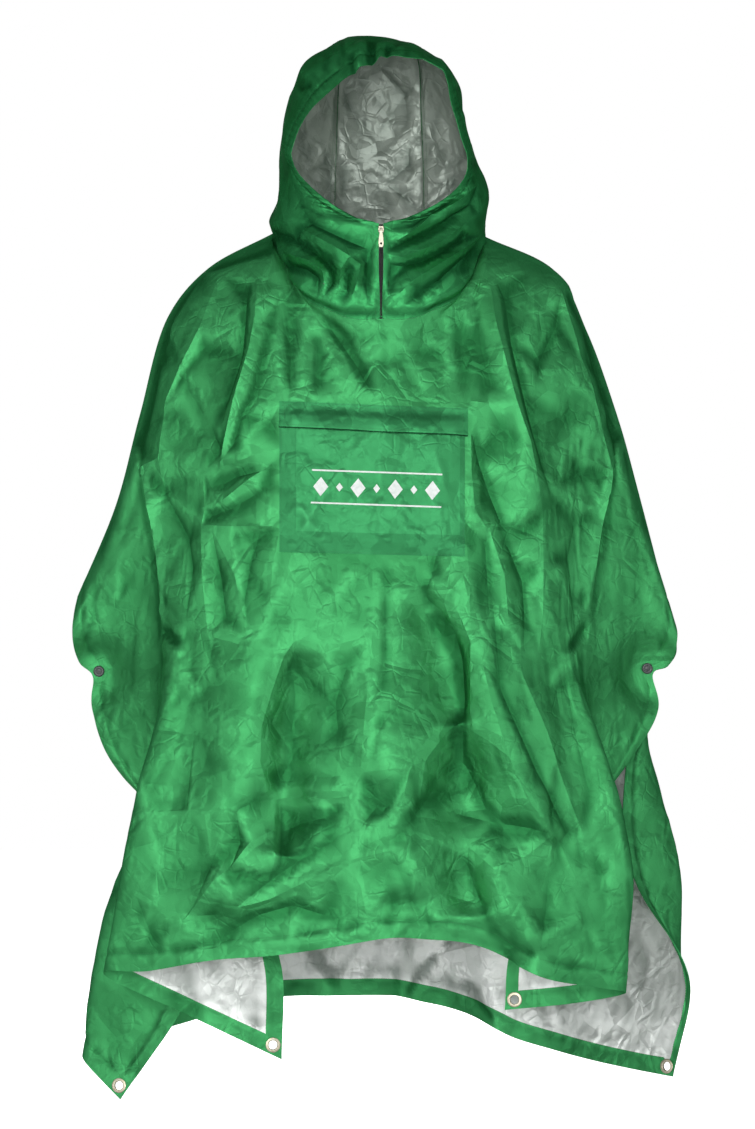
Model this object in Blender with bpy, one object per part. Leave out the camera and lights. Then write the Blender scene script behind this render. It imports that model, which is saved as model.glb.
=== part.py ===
"""A hooded rain poncho of coated nylon, as it hangs on a wearer with the arms down.

Frame: +Z up, the front faces -Y, origin between the shoulders at the base of
the neck. Left and right are the wearer's own: right is at -X. Tables are in
millimetres. Each cloth panel is a wall around a surface that runs through
named lines: every line goes from the neck or the arm down to the hem, and has
one point for each level.
"""

import math

import bmesh
import bpy
import numpy as np
from mathutils import Matrix, Vector
from mathutils.bvhtree import BVHTree

MM = 0.001
WALL = 1.6  # the cloth, as a stiff wall
GAP = 0.3  # between pieces at a seam
HALF_WIDTH = 720.0  # of the flat cloth, from the centre to a side edge
ZIP_HALF = 3.0  # from the centre to the hood's front edges

# The tables give x and z as a front view from this far away shows them, level
# with this height, so what is nearer than y = 0 is a little smaller than it
# looks there, and what is farther is larger.
VIEW_FROM = 5000.0
VIEW_LEVEL = -425.0

for old in list(bpy.data.objects):
    bpy.data.objects.remove(old)

# ---------------------------------------------------------------- materials

NYLON = (0.055, 0.36, 0.14)


def material(name, colour, roughness, metallic=0.0):
    mat = bpy.data.materials.new(name)
    mat.use_nodes = True
    shader = mat.node_tree.nodes["Principled BSDF"]
    shader.inputs["Base Color"].default_value = (*colour, 1.0)
    shader.inputs["Roughness"].default_value = roughness
    shader.inputs["Metallic"].default_value = metallic
    mat.diffuse_color = (*colour, 1.0)
    return mat


CLOTH = material("green_nylon", NYLON, 0.45)
ZIP_BLACK = material("zip_black", (0.01, 0.01, 0.01), 0.5)
METAL = material("pull_metal", (0.75, 0.70, 0.58), 0.3, 1.0)
BRASS = material("eyelet_brass", (0.66, 0.60, 0.44), 0.32, 1.0)
SNAP_GREY = material("snap_grey", (0.04, 0.045, 0.045), 0.4)

# ---------------------------------------------------------------- tables
# Levels run down a panel: 0 is its top edge, 1 its hem.
LEVELS = (0.0, 0.035, 0.10, 0.20, 0.35, 0.50, 0.66, 0.82, 0.91, 1.0)

# Lines run across a panel, by their distance along the cloth from the centre.
LINES = dict(centre=0, collar=62, cheek=100, nape=118, neck=135, shoulder=240,
             arm=335, fold=455, under=590, edge=HALF_WIDTH)

# The neck seam: x, y, z from the centre to the side of the neck.
NECK_FRONT = dict(centre=(0, -118, -93), collar=(62, -112, -85),
                  cheek=(113, -85, -50), nape=(131, -50, -2))
NECK_BACK = dict(centre=(0, 90, 10), collar=(62, 82, 13),
                 cheek=(100, 62, 19), nape=(128, 34, 22))

# The top edge of front and back, from the neck along the shoulder and the arm.
TOP_RIGHT = dict(neck=(-146, 22), shoulder=(-234, -26), arm=(-287, -90),
                 fold=(-325, -222), under=(-358, -346))
TOP_LEFT = dict(neck=(140, 18), shoulder=(236, -30), arm=(278, -111),
                fold=(318, -222), under=(347, -326))

# Below the top edge: (x, y, z) at each further level, top to hem.
FRONT_RIGHT = dict(
    centre=((0, -127, -125), (0, -133, -180), (0, -137, -280), (0, -146, -430),
            (2, -158, -570), (5, -174, -710), (8, -186, -830), (10, -190, -885), (12, -192, -929)),
    neck=((-146, -45, 8), (-141, -84, -52), (-137, -118, -190), (-134, -136, -360),
          (-133, -148, -525), (-134, -162, -700), (-137, -173, -840), (-139, -176, -900), (-140, -178, -952)),
    shoulder=((-233, -38, -36), (-227, -70, -86), (-216, -96, -205), (-207, -114, -365),
              (-203, -130, -525), (-208, -148, -700), (-218, -160, -845), (-224, -162, -905), (-229, -162, -959)),
    arm=((-284, -34, -98), (-273, -60, -144), (-259, -80, -262), (-250, -96, -400),
         (-248, -114, -545), (-262, -134, -710), (-289, -142, -852), (-301, -141, -912), (-311, -138, -973)),
    fold=((-320, -32, -228), (-309, -50, -268), (-294, -64, -350), (-283, -80, -450),
          (-284, -102, -560), (-321, -120, -708), (-350, -120, -842), (-363, -118, -912), (-375, -114, -977)),
    under=((-355, -27, -351), (-350, -40, -396), (-340, -46, -450), (-330, -48, -520),
           (-316, -50, -600), (-280, -58, -735), (-262, -70, -880), (-258, -76, -960), (-254, -80, -1036)),
    edge=((-414, -14, -492), (-416, -20, -524), (-408, -14, -554), (-389, -4, -576),
          (-389, -8, -624), (-346, -22, -714), (-180, -50, -870), (-135, -56, -965), (-134, -62, -1093)),
)
FRONT_LEFT = dict(
    centre=FRONT_RIGHT["centre"],
    neck=((140, -45, 5), (137, -84, -54), (134, -118, -192), (131, -136, -362),
          (129, -148, -525), (129, -162, -695), (131, -173, -830), (132, -176, -886), (132, -178, -940)),
    shoulder=((237, -38, -42), (229, -70, -92), (214, -96, -208), (203, -114, -365),
              (197, -130, -525), (199, -148, -700), (207, -160, -850), (212, -162, -918), (217, -162, -982)),
    arm=((273, -34, -117), (263, -60, -158), (252, -80, -266), (243, -96, -402),
         (239, -114, -545), (250, -134, -710), (272, -142, -860), (281, -141, -930), (288, -138, -995)),
    fold=((313, -32, -228), (301, -50, -270), (284, -64, -352), (268, -80, -450),
          (266, -102, -560), (309, -120, -706), (340, -120, -855), (335, -118, -930), (330, -114, -1003)),
    under=((343, -27, -332), (337, -40, -375), (330, -46, -440), (320, -48, -520),
           (298, -50, -600), (262, -58, -730), (258, -70, -870), (258, -76, -950), (260, -80, -1017)),
    edge=((396, -14, -505), (399, -20, -536), (388, -14, -560), (367, -4, -573),
          (374, -8, -622), (332, -22, -694), (215, -50, -850), (175, -56, -945), (167, -62, -1026)),
)
BACK_RIGHT = dict(
    centre=((0, 110, -20), (0, 126, -90), (0, 134, -205), (0, 140, -365),
            (0, 146, -530), (2, 156, -710), (6, 168, -870), (10, 174, -948), (14, 178, -1007)),
    neck=((-145, 40, 10), (-142, 80, -44), (-139, 106, -175), (-136, 120, -345),
          (-135, 130, -520), (-139, 142, -705), (-147, 156, -870), (-152, 162, -945), (-156, 166, -1010)),
    shoulder=((-233, 36, -35), (-229, 66, -84), (-223, 88, -205), (-217, 100, -365),
              (-214, 108, -525), (-220, 118, -705), (-236, 130, -875), (-246, 136, -960), (-253, 138, -1040)),
    arm=((-284, 32, -98), (-279, 54, -146), (-274, 70, -265), (-272, 78, -402),
         (-273, 84, -548), (-283, 90, -718), (-306, 98, -885), (-319, 102, -975), (-329, 102, -1062)),
    fold=((-321, 30, -228), (-313, 46, -266), (-305, 58, -352), (-298, 66, -452),
          (-296, 68, -562), (-304, 64, -728), (-349, 58, -885), (-367, 56, -985), (-380, 52, -1079)),
    under=((-355, 26, -351), (-349, 40, -390), (-343, 50, -446), (-336, 50, -520),
           (-328, 44, -612), (-316, 30, -738), (-364, 22, -888), (-386, 20, -1000), (-402, 14, -1092)),
    edge=((-414, 14, -492), (-416, 20, -524), (-408, 15, -554), (-389, 2, -576),
          (-388, 4, -622), (-338, -4, -716), (-275, -18, -870), (-252, -18, -990), (-352, -12, -1147)),
)
BACK_LEFT = dict(
    centre=BACK_RIGHT["centre"],
    neck=((140, 40, 7), (138, 80, -46), (135, 106, -177), (133, 120, -346),
          (131, 130, -520), (130, 142, -705), (128, 156, -872), (122, 162, -955), (112, 166, -1029)),
    shoulder=((237, 36, -41), (231, 66, -90), (223, 88, -208), (215, 100, -366),
              (211, 108, -525), (212, 120, -705), (210, 134, -875), (198, 142, -965), (176, 146, -1062)),
    arm=((274, 32, -117), (269, 54, -160), (266, 70, -268), (266, 78, -404),
         (269, 84, -548), (280, 92, -718), (286, 104, -880), (268, 112, -975), (234, 116, -1080)),
    fold=((314, 30, -228), (306, 46, -270), (298, 58, -354), (292, 66, -452),
          (296, 68, -562), (330, 66, -722), (356, 70, -880), (334, 80, -985), (286, 84, -1094)),
    under=((344, 26, -332), (339, 40, -376), (335, 50, -442), (334, 50, -520),
           (342, 44, -612), (380, 32, -738), (404, 24, -880), (394, 34, -985), (346, 42, -1107)),
    edge=((396, 14, -505), (399, 20, -536), (388, 15, -560), (367, 2, -573),
          (373, 4, -622), (331, -4, -696), (346, -16, -860), (416, 0, -985), (394, 8, -1116)),
)
WRIST = dict(right=(-409, -468), left=(388, -484))  # where the top edge ends

# The largest folds of the front: ends, how far it stands out (or in) and width.
FRONT_FOLDS = (
    # x1, z1, x2, z2, out, width
    (-112, -540, -138, -815, -20, 30),
    (52, -455, 104, -640, -16, 26),
    (104, -640, 118, -900, -22, 32),
    (128, -500, 232, -800, 13, 32),
    (10, -560, 40, -880, 11, 38),
    (-175, -520, -230, -900, 12, 46),
    (165, -60, 215, -370, 10, 26),
    (-170, -30, -205, -290, 9, 26),
    (-60, -640, 60, -760, 6, 40),
    (90, -760, 205, -950, 10, 30),
    (-230, -900, -60, -760, 9, 30),
)
BACK_FOLDS = (
    (0, -500, 28, -1080, -14, 24),
    (-90, -420, -120, -1080, 14, 50),
    (60, -650, 90, -1080, 14, 34),
    (130, -700, 150, -1100, -13, 26),
    (-190, -600, -230, -1100, -14, 40),
    (190, -450, 230, -1100, 10, 40),
    (-150, -60, -120, -420, 9, 34),
    (140, -60, 120, -420, 9, 34),
)

# The hood's side panels: a row for each section from the neck seam up to the
# crown seam, each from the front edge back to the crown seam.
HOOD_AT = (0.0, 0.12, 0.24, 0.33, 0.44, 0.56, 0.68, 0.80, 0.91, 1.0)
HOOD_ACROSS = (0.0, 0.16, 0.36, 0.58, 0.80, 1.0)
HOOD_RIGHT = (
    ((-3, -118, -92), (-88, -103, -73), (-131, -50, -1), (-146, 0, 23), (-125, 40, 23), (-61, 82, 14)),
    ((-3, -124, -30), (-92, -112, -26), (-137, -58, 20), (-151, -6, 40), (-128, 50, 45), (-61, 91, 42)),
    ((-3, -123, 33), (-70, -117, 32), (-124, -76, 46), (-141, -10, 62), (-122, 59, 74), (-60, 101, 78)),
    ((-34, -119, 44), (-92, -106, 54), (-128, -66, 66), (-139, -8, 80), (-120, 63, 94), (-60, 107, 102)),
    ((-78, -113, 71), (-112, -90, 80), (-131, -55, 90), (-138, -4, 104), (-118, 66, 120), (-59, 112, 130)),
    ((-117, -107, 112), (-128, -80, 118), (-134, -45, 126), (-137, 1, 140), (-114, 67, 156), (-58, 115, 166)),
    ((-115, -104, 152), (-125, -78, 157), (-130, -42, 165), (-130, 4, 178), (-107, 60, 194), (-57, 108, 206)),
    ((-97, -110, 187), (-109, -82, 197), (-116, -46, 208), (-115, -1, 218), (-93, 46, 232), (-55, 90, 243)),
    ((-72, -119, 212), (-88, -94, 234), (-98, -58, 249), (-98, -16, 258), (-81, 24, 265), (-52, 64, 268)),
    ((-46, -127, 234), (-52, -104, 258), (-55, -68, 275), (-56, -28, 282), (-55, 4, 282), (-51, 34, 278)),
)
HOOD_LEFT = (
    ((3, -118, -92), (88, -103, -74), (127, -50, -3), (140, 0, 19), (120, 40, 21), (57, 82, 14)),
    ((3, -124, -30), (90, -112, -27), (131, -58, 18), (139, -6, 37), (120, 50, 44), (57, 91, 42)),
    ((3, -123, 33), (70, -117, 34), (132, -74, 46), (141, -10, 60), (120, 59, 74), (56, 101, 78)),
    ((36, -119, 44), (96, -106, 50), (137, -66, 62), (143, -8, 76), (118, 63, 94), (56, 107, 102)),
    ((84, -113, 68), (120, -90, 76), (138, -55, 86), (138, -4, 100), (115, 66, 120), (55, 112, 130)),
    ((118, -107, 108), (126, -80, 114), (126, -45, 124), (124, 1, 138), (106, 67, 156), (54, 115, 166)),
    ((107, -104, 155), (114, -78, 160), (113, -42, 168), (110, 4, 180), (97, 60, 194), (53, 108, 206)),
    ((95, -110, 200), (105, -82, 206), (107, -46, 214), (105, -1, 222), (88, 46, 232), (52, 90, 242)),
    ((85, -120, 238), (90, -94, 244), (88, -58, 249), (82, -16, 253), (69, 24, 257), (49, 64, 262)),
    ((58, -127, 258), (57, -104, 266), (55, -68, 271), (52, -28, 274), (50, 4, 275), (47, 34, 272)),
)
CROWN_RISE = 10  # of the crown strip's middle over its seams
BRIM_TOP = (13, -131, 262)  # the brim's middle

# ---------------------------------------------------------------- surfaces

def through(stations, values, at):
    """Smooth curves through rows of values, one row for each station."""
    t, v = np.asarray(stations, float), np.asarray(values, float)
    at = np.asarray(at, float)
    step = np.diff(t).reshape(-1, *[1] * (v.ndim - 1))
    rise = np.diff(v, axis=0) / step
    slope = np.empty_like(v)
    slope[1:-1] = (rise[:-1] * step[1:] + rise[1:] * step[:-1]) / (step[:-1] + step[1:])
    slope[0], slope[-1] = rise[0], rise[-1]
    k = np.clip(np.searchsorted(t, at, side="right") - 1, 0, len(t) - 2)
    h = (t[k + 1] - t[k]).reshape(-1, *[1] * (v.ndim - 1))
    s = ((at - t[k]) / (t[k + 1] - t[k])).reshape(-1, *[1] * (v.ndim - 1))
    return (
        (1 + 2 * s) * (1 - s) ** 2 * v[k]
        + s * (1 - s) ** 2 * h * slope[k]
        + s**2 * (3 - 2 * s) * v[k + 1]
        + s**2 * (s - 1) * h * slope[k + 1]
    )


def steps(stations, counts):
    """Stations with each gap between them cut into its count of steps."""
    found = [stations[0]]
    for a, b, n in zip(stations, stations[1:], counts):
        found += [a + (b - a) * (i + 1) / n for i in range(n)]
    return np.array(found, float)


def unit(v):
    return v / np.maximum(np.linalg.norm(v, axis=-1, keepdims=True), 1e-9)


def real(points):
    """From front-view sizes to real ones."""
    p = np.array(points, float)
    k = 1 + p[..., 1] / VIEW_FROM
    p[..., 0] *= k
    p[..., 2] = VIEW_LEVEL + (p[..., 2] - VIEW_LEVEL) * k
    return p


def cloth_lines(tables, neck, facing):
    """Every line of a panel, right edge to left edge, as rows of levels."""
    stations, columns = [], []
    for sign, table, top, wrist in ((-1, tables[0], TOP_RIGHT, WRIST["right"]),
                                    (1, tables[1], TOP_LEFT, WRIST["left"])):
        side = {}
        for name in ("centre", "neck", "shoulder", "arm", "fold", "under", "edge"):
            if name == "centre":
                first = neck["centre"]
            elif name == "edge":
                first = (wrist[0], facing * 2, wrist[1])
            else:
                first = (top[name][0], 0, top[name][1])
            side[name] = np.array([first, *table[name]], float)
        # The lines between the centre and the neck start on the neck seam.
        known = [LINES["centre"], LINES["neck"], LINES["shoulder"]]
        rows = np.stack([side["centre"], side["neck"], side["shoulder"]])
        for name in ("collar", "cheek", "nape"):
            line = through(known, rows, [LINES[name]])[0]
            x, y, z = neck[name]
            line[0] = (sign * x, y, z)
            # Level 1 lies a little below the seam, towards level 2.
            line[1] = line[0] + (line[2] - line[0]) * 0.42
            side[name] = line
        side["centre"][1] = side["centre"][0] + (side["centre"][2] - side["centre"][0]) * 0.42
        for name, distance in LINES.items():
            if sign < 0 or name != "centre":
                stations.append(sign * distance)
                columns.append(side[name])
    order = np.argsort(stations)
    return np.array(stations, float)[order], np.stack(columns)[order]


def fold_push(x, z, folds):
    """How far the folds push a point out, by its place in the front view."""
    push = np.zeros_like(x)
    for x1, z1, x2, z2, out, width in folds:
        run = (x2 - x1, z2 - z1)
        length = math.hypot(*run)
        along = ((x - x1) * run[0] + (z - z1) * run[1]) / length**2
        off = ((x - x1) * run[1] - (z - z1) * run[0]) / length
        ends = np.clip(along / 0.25, 0, 1) * np.clip((1 - along) / 0.12, 0, 1)
        push += out * np.exp(-((off / width) ** 2)) * ends * (2 - ends)
    return push


def panel_points(stations, columns, folds, facing, across, down):
    """The middle surface of a panel at cloth distances and levels."""
    rows = through(stations, columns, across)
    # The top edge turns a corner at the sides of the neck.
    corners = np.array((-np.inf, -LINES["neck"], LINES["neck"], np.inf))
    for low, high in zip(corners, corners[1:]):
        known = (stations >= low) & (stations <= high)
        asked = (across >= low) & (across <= high)
        for level in (0, 1):
            rows[asked, level] = through(stations[known], columns[known, level], across[asked])
    points = through(LEVELS, rows.transpose(1, 0, 2), down)
    inside = np.clip((500 - np.abs(across)) / 120, 0, 1)[None, :]
    level = np.clip((np.asarray(down) - 0.02) / 0.12, 0, 1)[:, None]
    push = fold_push(points[:, :, 0], points[:, :, 2], folds)
    points[:, :, 1] += facing * push * inside * level
    return real(points)


def normals_of(points, away_from):
    """Unit normals of a grid of points, pointing away from a place."""
    n = unit(np.cross(np.gradient(points, axis=0), np.gradient(points, axis=1)))
    return -n if ((points - np.array(away_from)) * n).sum() < 0 else n


def wall(name, outer, inner, mat):
    """A closed wall between two grids of points, in millimetres."""
    rows, cols = outer.shape[:2]
    points = np.concatenate([outer.reshape(-1, 3), inner.reshape(-1, 3)]) * MM
    size = rows * cols

    def at(r, c, side):
        return side * size + r * cols + c

    faces = []
    for r in range(rows - 1):
        for c in range(cols - 1):
            one = np.linalg.norm(outer[r, c] - outer[r + 1, c + 1])
            two = np.linalg.norm(outer[r + 1, c] - outer[r, c + 1])
            for side in (0, 1):
                a, b = at(r, c, side), at(r, c + 1, side)
                d, e = at(r + 1, c, side), at(r + 1, c + 1, side)
                both = ((a, b, e), (a, e, d)) if one < two else ((a, b, d), (b, e, d))
                faces += [f if side == 0 else f[::-1] for f in both]
    rim = (
        [(0, c) for c in range(cols)]
        + [(r, cols - 1) for r in range(1, rows)]
        + [(rows - 1, c) for c in range(cols - 2, -1, -1)]
        + [(r, 0) for r in range(rows - 2, 0, -1)]
    )
    for (r1, c1), (r2, c2) in zip(rim, rim[1:] + rim[:1]):
        a, b = at(r1, c1, 0), at(r2, c2, 0)
        d, e = at(r1, c1, 1), at(r2, c2, 1)
        faces += [(a, d, b), (b, d, e)]
    return solid(name, points.tolist(), faces, mat)


def solid(name, points, faces, mat, place=None):
    """An object from points in metres, its faces turned out."""
    mesh = bpy.data.meshes.new(name)
    mesh.from_pydata(points, [], faces)
    body = bmesh.new()
    body.from_mesh(mesh)
    bmesh.ops.recalc_face_normals(body, faces=body.faces)
    body.to_mesh(mesh)
    body.free()
    mesh.materials.append(mat)
    mesh.shade_smooth()
    mesh.set_sharp_from_angle(angle=math.radians(40))
    ob = bpy.data.objects.new(name, mesh)
    if place is not None:
        ob.matrix_world = place
    bpy.context.scene.collection.objects.link(ob)
    return ob


def frame_at(origin, normal, up=(0, 0, 1)):
    """A placement with its Z along normal and its Y near up, in metres."""
    z = Vector(normal).normalized()
    x = Vector(up).cross(z).normalized()
    y = z.cross(x)
    turn = Matrix((x, y, z)).transposed().to_4x4()
    return Matrix.Translation(Vector(origin) * MM) @ turn


# ---------------------------------------------------------------- front, back

ACROSS_COUNTS = (2, 1, 2, 2, 3, 3, 4, 4, 4)
ACROSS_SIDE = steps(list(LINES.values()), ACROSS_COUNTS)
ACROSS = np.concatenate([-ACROSS_SIDE[:0:-1], ACROSS_SIDE])
DOWN = steps(LEVELS, (1, 1, 2, 3, 3, 3, 3, 2, 3))
NECK_CELLS = sum(ACROSS_COUNTS[:4])  # from the centre to the side of the neck
CENTRE = len(ACROSS) // 2
BODY = (0, 0, -500)
EYELET_IN = 12.5  # from both edges of a hem corner to its eyelet


def corner_plane(points, col):
    """A hem corner, the ways along its hem and its side edge, and its normal."""
    step = 1 if col == 0 else -1
    corner = points[-1, col]
    inward, upward = unit(points[-1, col + 2 * step] - corner), unit(points[-3, col] - corner)
    return corner, inward, upward, unit(np.cross(inward, upward))


def flatten_corner(points, col, reach):
    """Brings a hem corner of the grid into one plane, so that an eyelet fits."""
    corner, _, _, normal = corner_plane(points, col)
    far = np.linalg.norm(points - corner, axis=2)
    above = (points - corner) @ normal
    weight = np.clip((reach * 1.8 - far) / (reach * 0.8), 0, 1)
    return points - (above * weight)[:, :, None] * normal


SNAP_LEVEL = 0.352  # of both panels, where the side edges are fastened
SNAP_PINCH = 46.0  # how far round a snap the two panels are drawn together
SNAP_APART = 3.0  # of each panel's middle from y = 0 there


def pinch_at_snap(points, facing, col):
    """Draws the panel to the other one round the snap on its side edge."""
    row = int(np.argmin(np.abs(DOWN - SNAP_LEVEL)))
    place = points[row, col]
    far = np.hypot(points[:, :, 0] - place[0], points[:, :, 2] - place[2])
    weight = np.exp(-((far / SNAP_PINCH) ** 4)) * (np.abs(ACROSS) > 560)[None, :]
    points = points.copy()
    points[:, :, 1] += (facing * SNAP_APART - points[:, :, 1]) * weight
    return points


def make_panel(tables, neck, folds, facing):
    """The middle points of a panel and the directions of its thickness."""
    stations, columns = cloth_lines(tables, neck, facing)
    middle = panel_points(stations, columns, folds, facing, ACROSS, DOWN)
    for col in (0, -1):
        middle = pinch_at_snap(middle, facing, col)
        middle = flatten_corner(middle, col, 48)
    out = normals_of(middle, BODY)
    # At the top edge front and back meet face to face, and their walls are
    # square to the line along the shoulder and the arm.
    out[0] = out[1]
    beyond = np.abs(ACROSS) >= LINES["neck"] - 1
    run = np.gradient(middle[0], axis=0)
    square = np.stack([-run[:, 2], 0 * run[:, 0], run[:, 0]], axis=1)
    square *= np.where(square[:, 2:] < 0, -1, 1)
    out[0, beyond] = unit(square)[beyond]
    middle[0, beyond, 1] = facing * GAP * 0.6
    return middle, unit(out)


front_mid, front_n = make_panel((FRONT_RIGHT, FRONT_LEFT), NECK_FRONT, FRONT_FOLDS, -1.0)
back_mid, back_n = make_panel((BACK_RIGHT, BACK_LEFT), NECK_BACK, BACK_FOLDS, 1.0)
# Both panels give the same direction to the points that they share.
for col in (CENTRE - NECK_CELLS, CENTRE + NECK_CELLS):
    front_n[0, col] = back_n[0, col] = unit(front_n[0, col] + back_n[0, col])
front = wall("front_panel", front_mid + front_n * WALL / 2, front_mid - front_n * WALL / 2, CLOTH)
back = wall("back_panel", back_mid + back_n * WALL / 2, back_mid - back_n * WALL / 2, CLOTH)

# ---------------------------------------------------------------- hood

HEAD = (0, 0, 80)
HOOD_DOWN = steps(HOOD_AT, (1, 2, 1, 1, 2, 2, 2, 2, 2))
CROWN_HALF = 2  # cells of the back's neck seam on each side of the centre


def neck_seam(side):
    """The panels' top points round the neck on one side (-1 right, 1 left),
    front to back, with their wall directions and the way up from them."""
    cols = [CENTRE + side * k for k in range(NECK_CELLS + 1)]
    ring = [(front_mid[0, c], front_n[0, c]) for c in cols]
    ring += [(back_mid[0, c], back_n[0, c]) for c in cols[-2::-1]]
    points, n = (np.array(v) for v in zip(*ring))
    points[NECK_CELLS, 1] = 0
    way = unit(np.cross(n, np.gradient(points, axis=0)))
    inward = np.array(HEAD) - points
    way *= np.sign((way * inward).sum(axis=1, keepdims=True))
    return points, n, way


def hood_side(rows, side):
    """A side panel of the hood: middle points and wall directions."""
    table = real(np.array(rows, float))
    points, n, way = neck_seam(side)
    last = len(points) - 1 - CROWN_HALF
    points, n, way = points[: last + 1], n[: last + 1], way[: last + 1]
    walk = np.concatenate([[0], np.cumsum(np.linalg.norm(np.diff(points, axis=0), axis=1))])
    across = walk / walk[-1]
    grid = through(HOOD_AT, table, HOOD_DOWN).transpose(1, 0, 2)
    grid = through(HOOD_ACROSS, grid, across).transpose(1, 0, 2)
    # Both front edges run straight beside the zip.
    zipped = side * grid[:, 0, 0] < ZIP_HALF + 3
    grid[zipped, 0, 0] = side * ZIP_HALF
    # The lowest row follows the panels' neck seam.
    grid[0] = points + way * GAP * 1.3
    grid[0, 0, 0] = side * ZIP_HALF
    out = normals_of(grid, HEAD)
    out[0] = n
    out[zipped, 0, 0] = 0
    return grid, unit(out)


right_mid, right_n = hood_side(HOOD_RIGHT, -1)
left_mid, left_n = hood_side(HOOD_LEFT, 1)


def crown_strip():
    """The strip over the head, from the brim back and down to the nape."""
    edges, edge_n = [], []
    for grid, out in ((right_mid, right_n), (left_mid, left_n)):
        edges.append(np.concatenate([grid[-1], grid[-2::-1, -1]]))
        edge_n.append(np.concatenate([out[-1], out[-2::-1, -1]]))
    right, left = edges
    cols = np.linspace(0, 1, 2 * CROWN_HALF + 1)
    grid = right[:, None] * (1 - cols)[None, :, None] + left[:, None] * cols[None, :, None]
    out = normals_of(grid, HEAD)
    grid = grid + out * (CROWN_RISE * (1 - (2 * cols - 1) ** 2))[None, :, None]
    # The brim's middle is higher than the straight line between its ends.
    brim = through((0, 0.55, 1), (right[0], real(BRIM_TOP), left[0]), cols)
    near = np.clip(1 - np.arange(len(grid)) / 4, 0, 1)[:, None, None]
    grid = grid + near * (brim - grid[0])[None]
    nape, n, way = (v[-1 - CROWN_HALF:] for v in neck_seam(-1))
    nape2, n2, way2 = (v[-1 - CROWN_HALF:-1][::-1] for v in neck_seam(1))
    grid[-1] = np.concatenate([nape, nape2]) + np.concatenate([way, way2]) * GAP * 1.3
    out = normals_of(grid, HEAD)
    out[-1] = np.concatenate([n, n2])
    # Side seams share the side panels' wall directions and keep clear of them.
    for col, edge, n in ((0, right, edge_n[0]), (-1, left, edge_n[1])):
        out[:, col] = n
        way = unit(np.cross(n, np.gradient(edge, axis=0)))
        inner = grid[:, 1 if col == 0 else -2] - edge
        way *= np.sign((way * inner).sum(axis=1, keepdims=True))
        grid[:, col] = edge + way * GAP * 1.3
    return grid, unit(out)


crown_mid, crown_n = crown_strip()
for name, grid, out in (("hood_side_right", right_mid, right_n),
                        ("hood_side_left", left_mid, left_n),
                        ("hood_crown", crown_mid, crown_n)):
    wall(name, grid + out * WALL / 2, grid - out * WALL / 2, CLOTH)

# ---------------------------------------------------------------- zip

CHAIN_HALF = ZIP_HALF - 0.5
CHAIN_THICK = 2.0
zip_rows = [r for r in range(len(right_mid)) if right_mid[r, 0, 0] > -ZIP_HALF - 0.1]
zip_line = np.array([(0, right_mid[r, 0, 1], right_mid[r, 0, 2]) for r in zip_rows])
zip_line[0] += unit(zip_line[1] - zip_line[0]) * 3
zip_line[-1] -= unit(zip_line[-1] - zip_line[-2]) * 1
chain = np.stack([zip_line + (x, 0, 0) for x in (-CHAIN_HALF, CHAIN_HALF)], axis=1)
forward = np.array((0, -1.0, 0))
wall("zip_chain", chain + forward * CHAIN_THICK / 2, chain - forward * CHAIN_THICK / 2, ZIP_BLACK)

SLIDER_WIDE, SLIDER_TALL, SLIDER_THICK = 7.0, 8.5, 2.6
EAR_OUT = 3.6  # the ears stand this far off the slider
PIN_RADIUS = 0.7
slider_z = zip_line[-1][2] - 4.0
slider_y = zip_line[-1][1] - WALL / 2 - 1.0
HINGE = (0.0, slider_y - SLIDER_THICK - EAR_OUT + 1.3, slider_z - 0.5)


def block(name, low, high, mat, hidden=False, bevel=0.0):
    x, y, z = (0.5 * (a + b) * MM for a, b in zip(low, high))
    size = [(b - a) * MM for a, b in zip(low, high)]
    body = bmesh.new()
    bmesh.ops.create_cube(body, size=1.0, matrix=Matrix.Diagonal((*size, 1.0)))
    mesh = bpy.data.meshes.new(name)
    body.to_mesh(mesh)
    body.free()
    mesh.materials.append(mat)
    ob = bpy.data.objects.new(name, mesh)
    ob.location = (x, y, z)
    bpy.context.scene.collection.objects.link(ob)
    if bevel:
        mod = ob.modifiers.new("edges", "BEVEL")
        mod.width, mod.segments, mod.limit_method = bevel * MM, 1, "ANGLE"
    if hidden:
        ob.hide_render, ob.display_type = True, "WIRE"
    return ob


def rod(name, radius, length, place, mat, sides=16, hidden=True):
    """A cylinder about the Z axis of its placement, centred on it."""
    body = bmesh.new()
    bmesh.ops.create_cone(body, cap_ends=True, segments=sides, radius1=radius * MM,
                          radius2=radius * MM, depth=length * MM)
    mesh = bpy.data.meshes.new(name)
    body.to_mesh(mesh)
    body.free()
    mesh.materials.append(mat)
    ob = bpy.data.objects.new(name, mesh)
    ob.matrix_world = place
    bpy.context.scene.collection.objects.link(ob)
    if hidden:
        ob.hide_render, ob.display_type = True, "WIRE"
    return ob


def combine(ob, other, operation):
    mod = ob.modifiers.new(other.name, "BOOLEAN")
    mod.operation, mod.object, mod.solver = operation, other, "EXACT"


slider = block("zip_slider",
               (-SLIDER_WIDE / 2, slider_y - SLIDER_THICK, slider_z - SLIDER_TALL / 2),
               (SLIDER_WIDE / 2, slider_y, slider_z + SLIDER_TALL / 2), METAL, bevel=0.5)
for side, x in (("right", -2.9), ("left", 2.9)):
    ear = block(f"slider_ear_{side}", (x - 0.6, slider_y - SLIDER_THICK - EAR_OUT, HINGE[2] - 1.3),
                (x + 0.6, slider_y - SLIDER_THICK + 0.4, HINGE[2] + 1.3), METAL, hidden=True)
    combine(slider, ear, "UNION")
along_x = Matrix.Rotation(math.radians(90), 4, "Y")
pin = rod("slider_pin", PIN_RADIUS, 6.2, Matrix.Translation(Vector(HINGE) * MM) @ along_x, METAL)
combine(slider, pin, "UNION")

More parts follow.
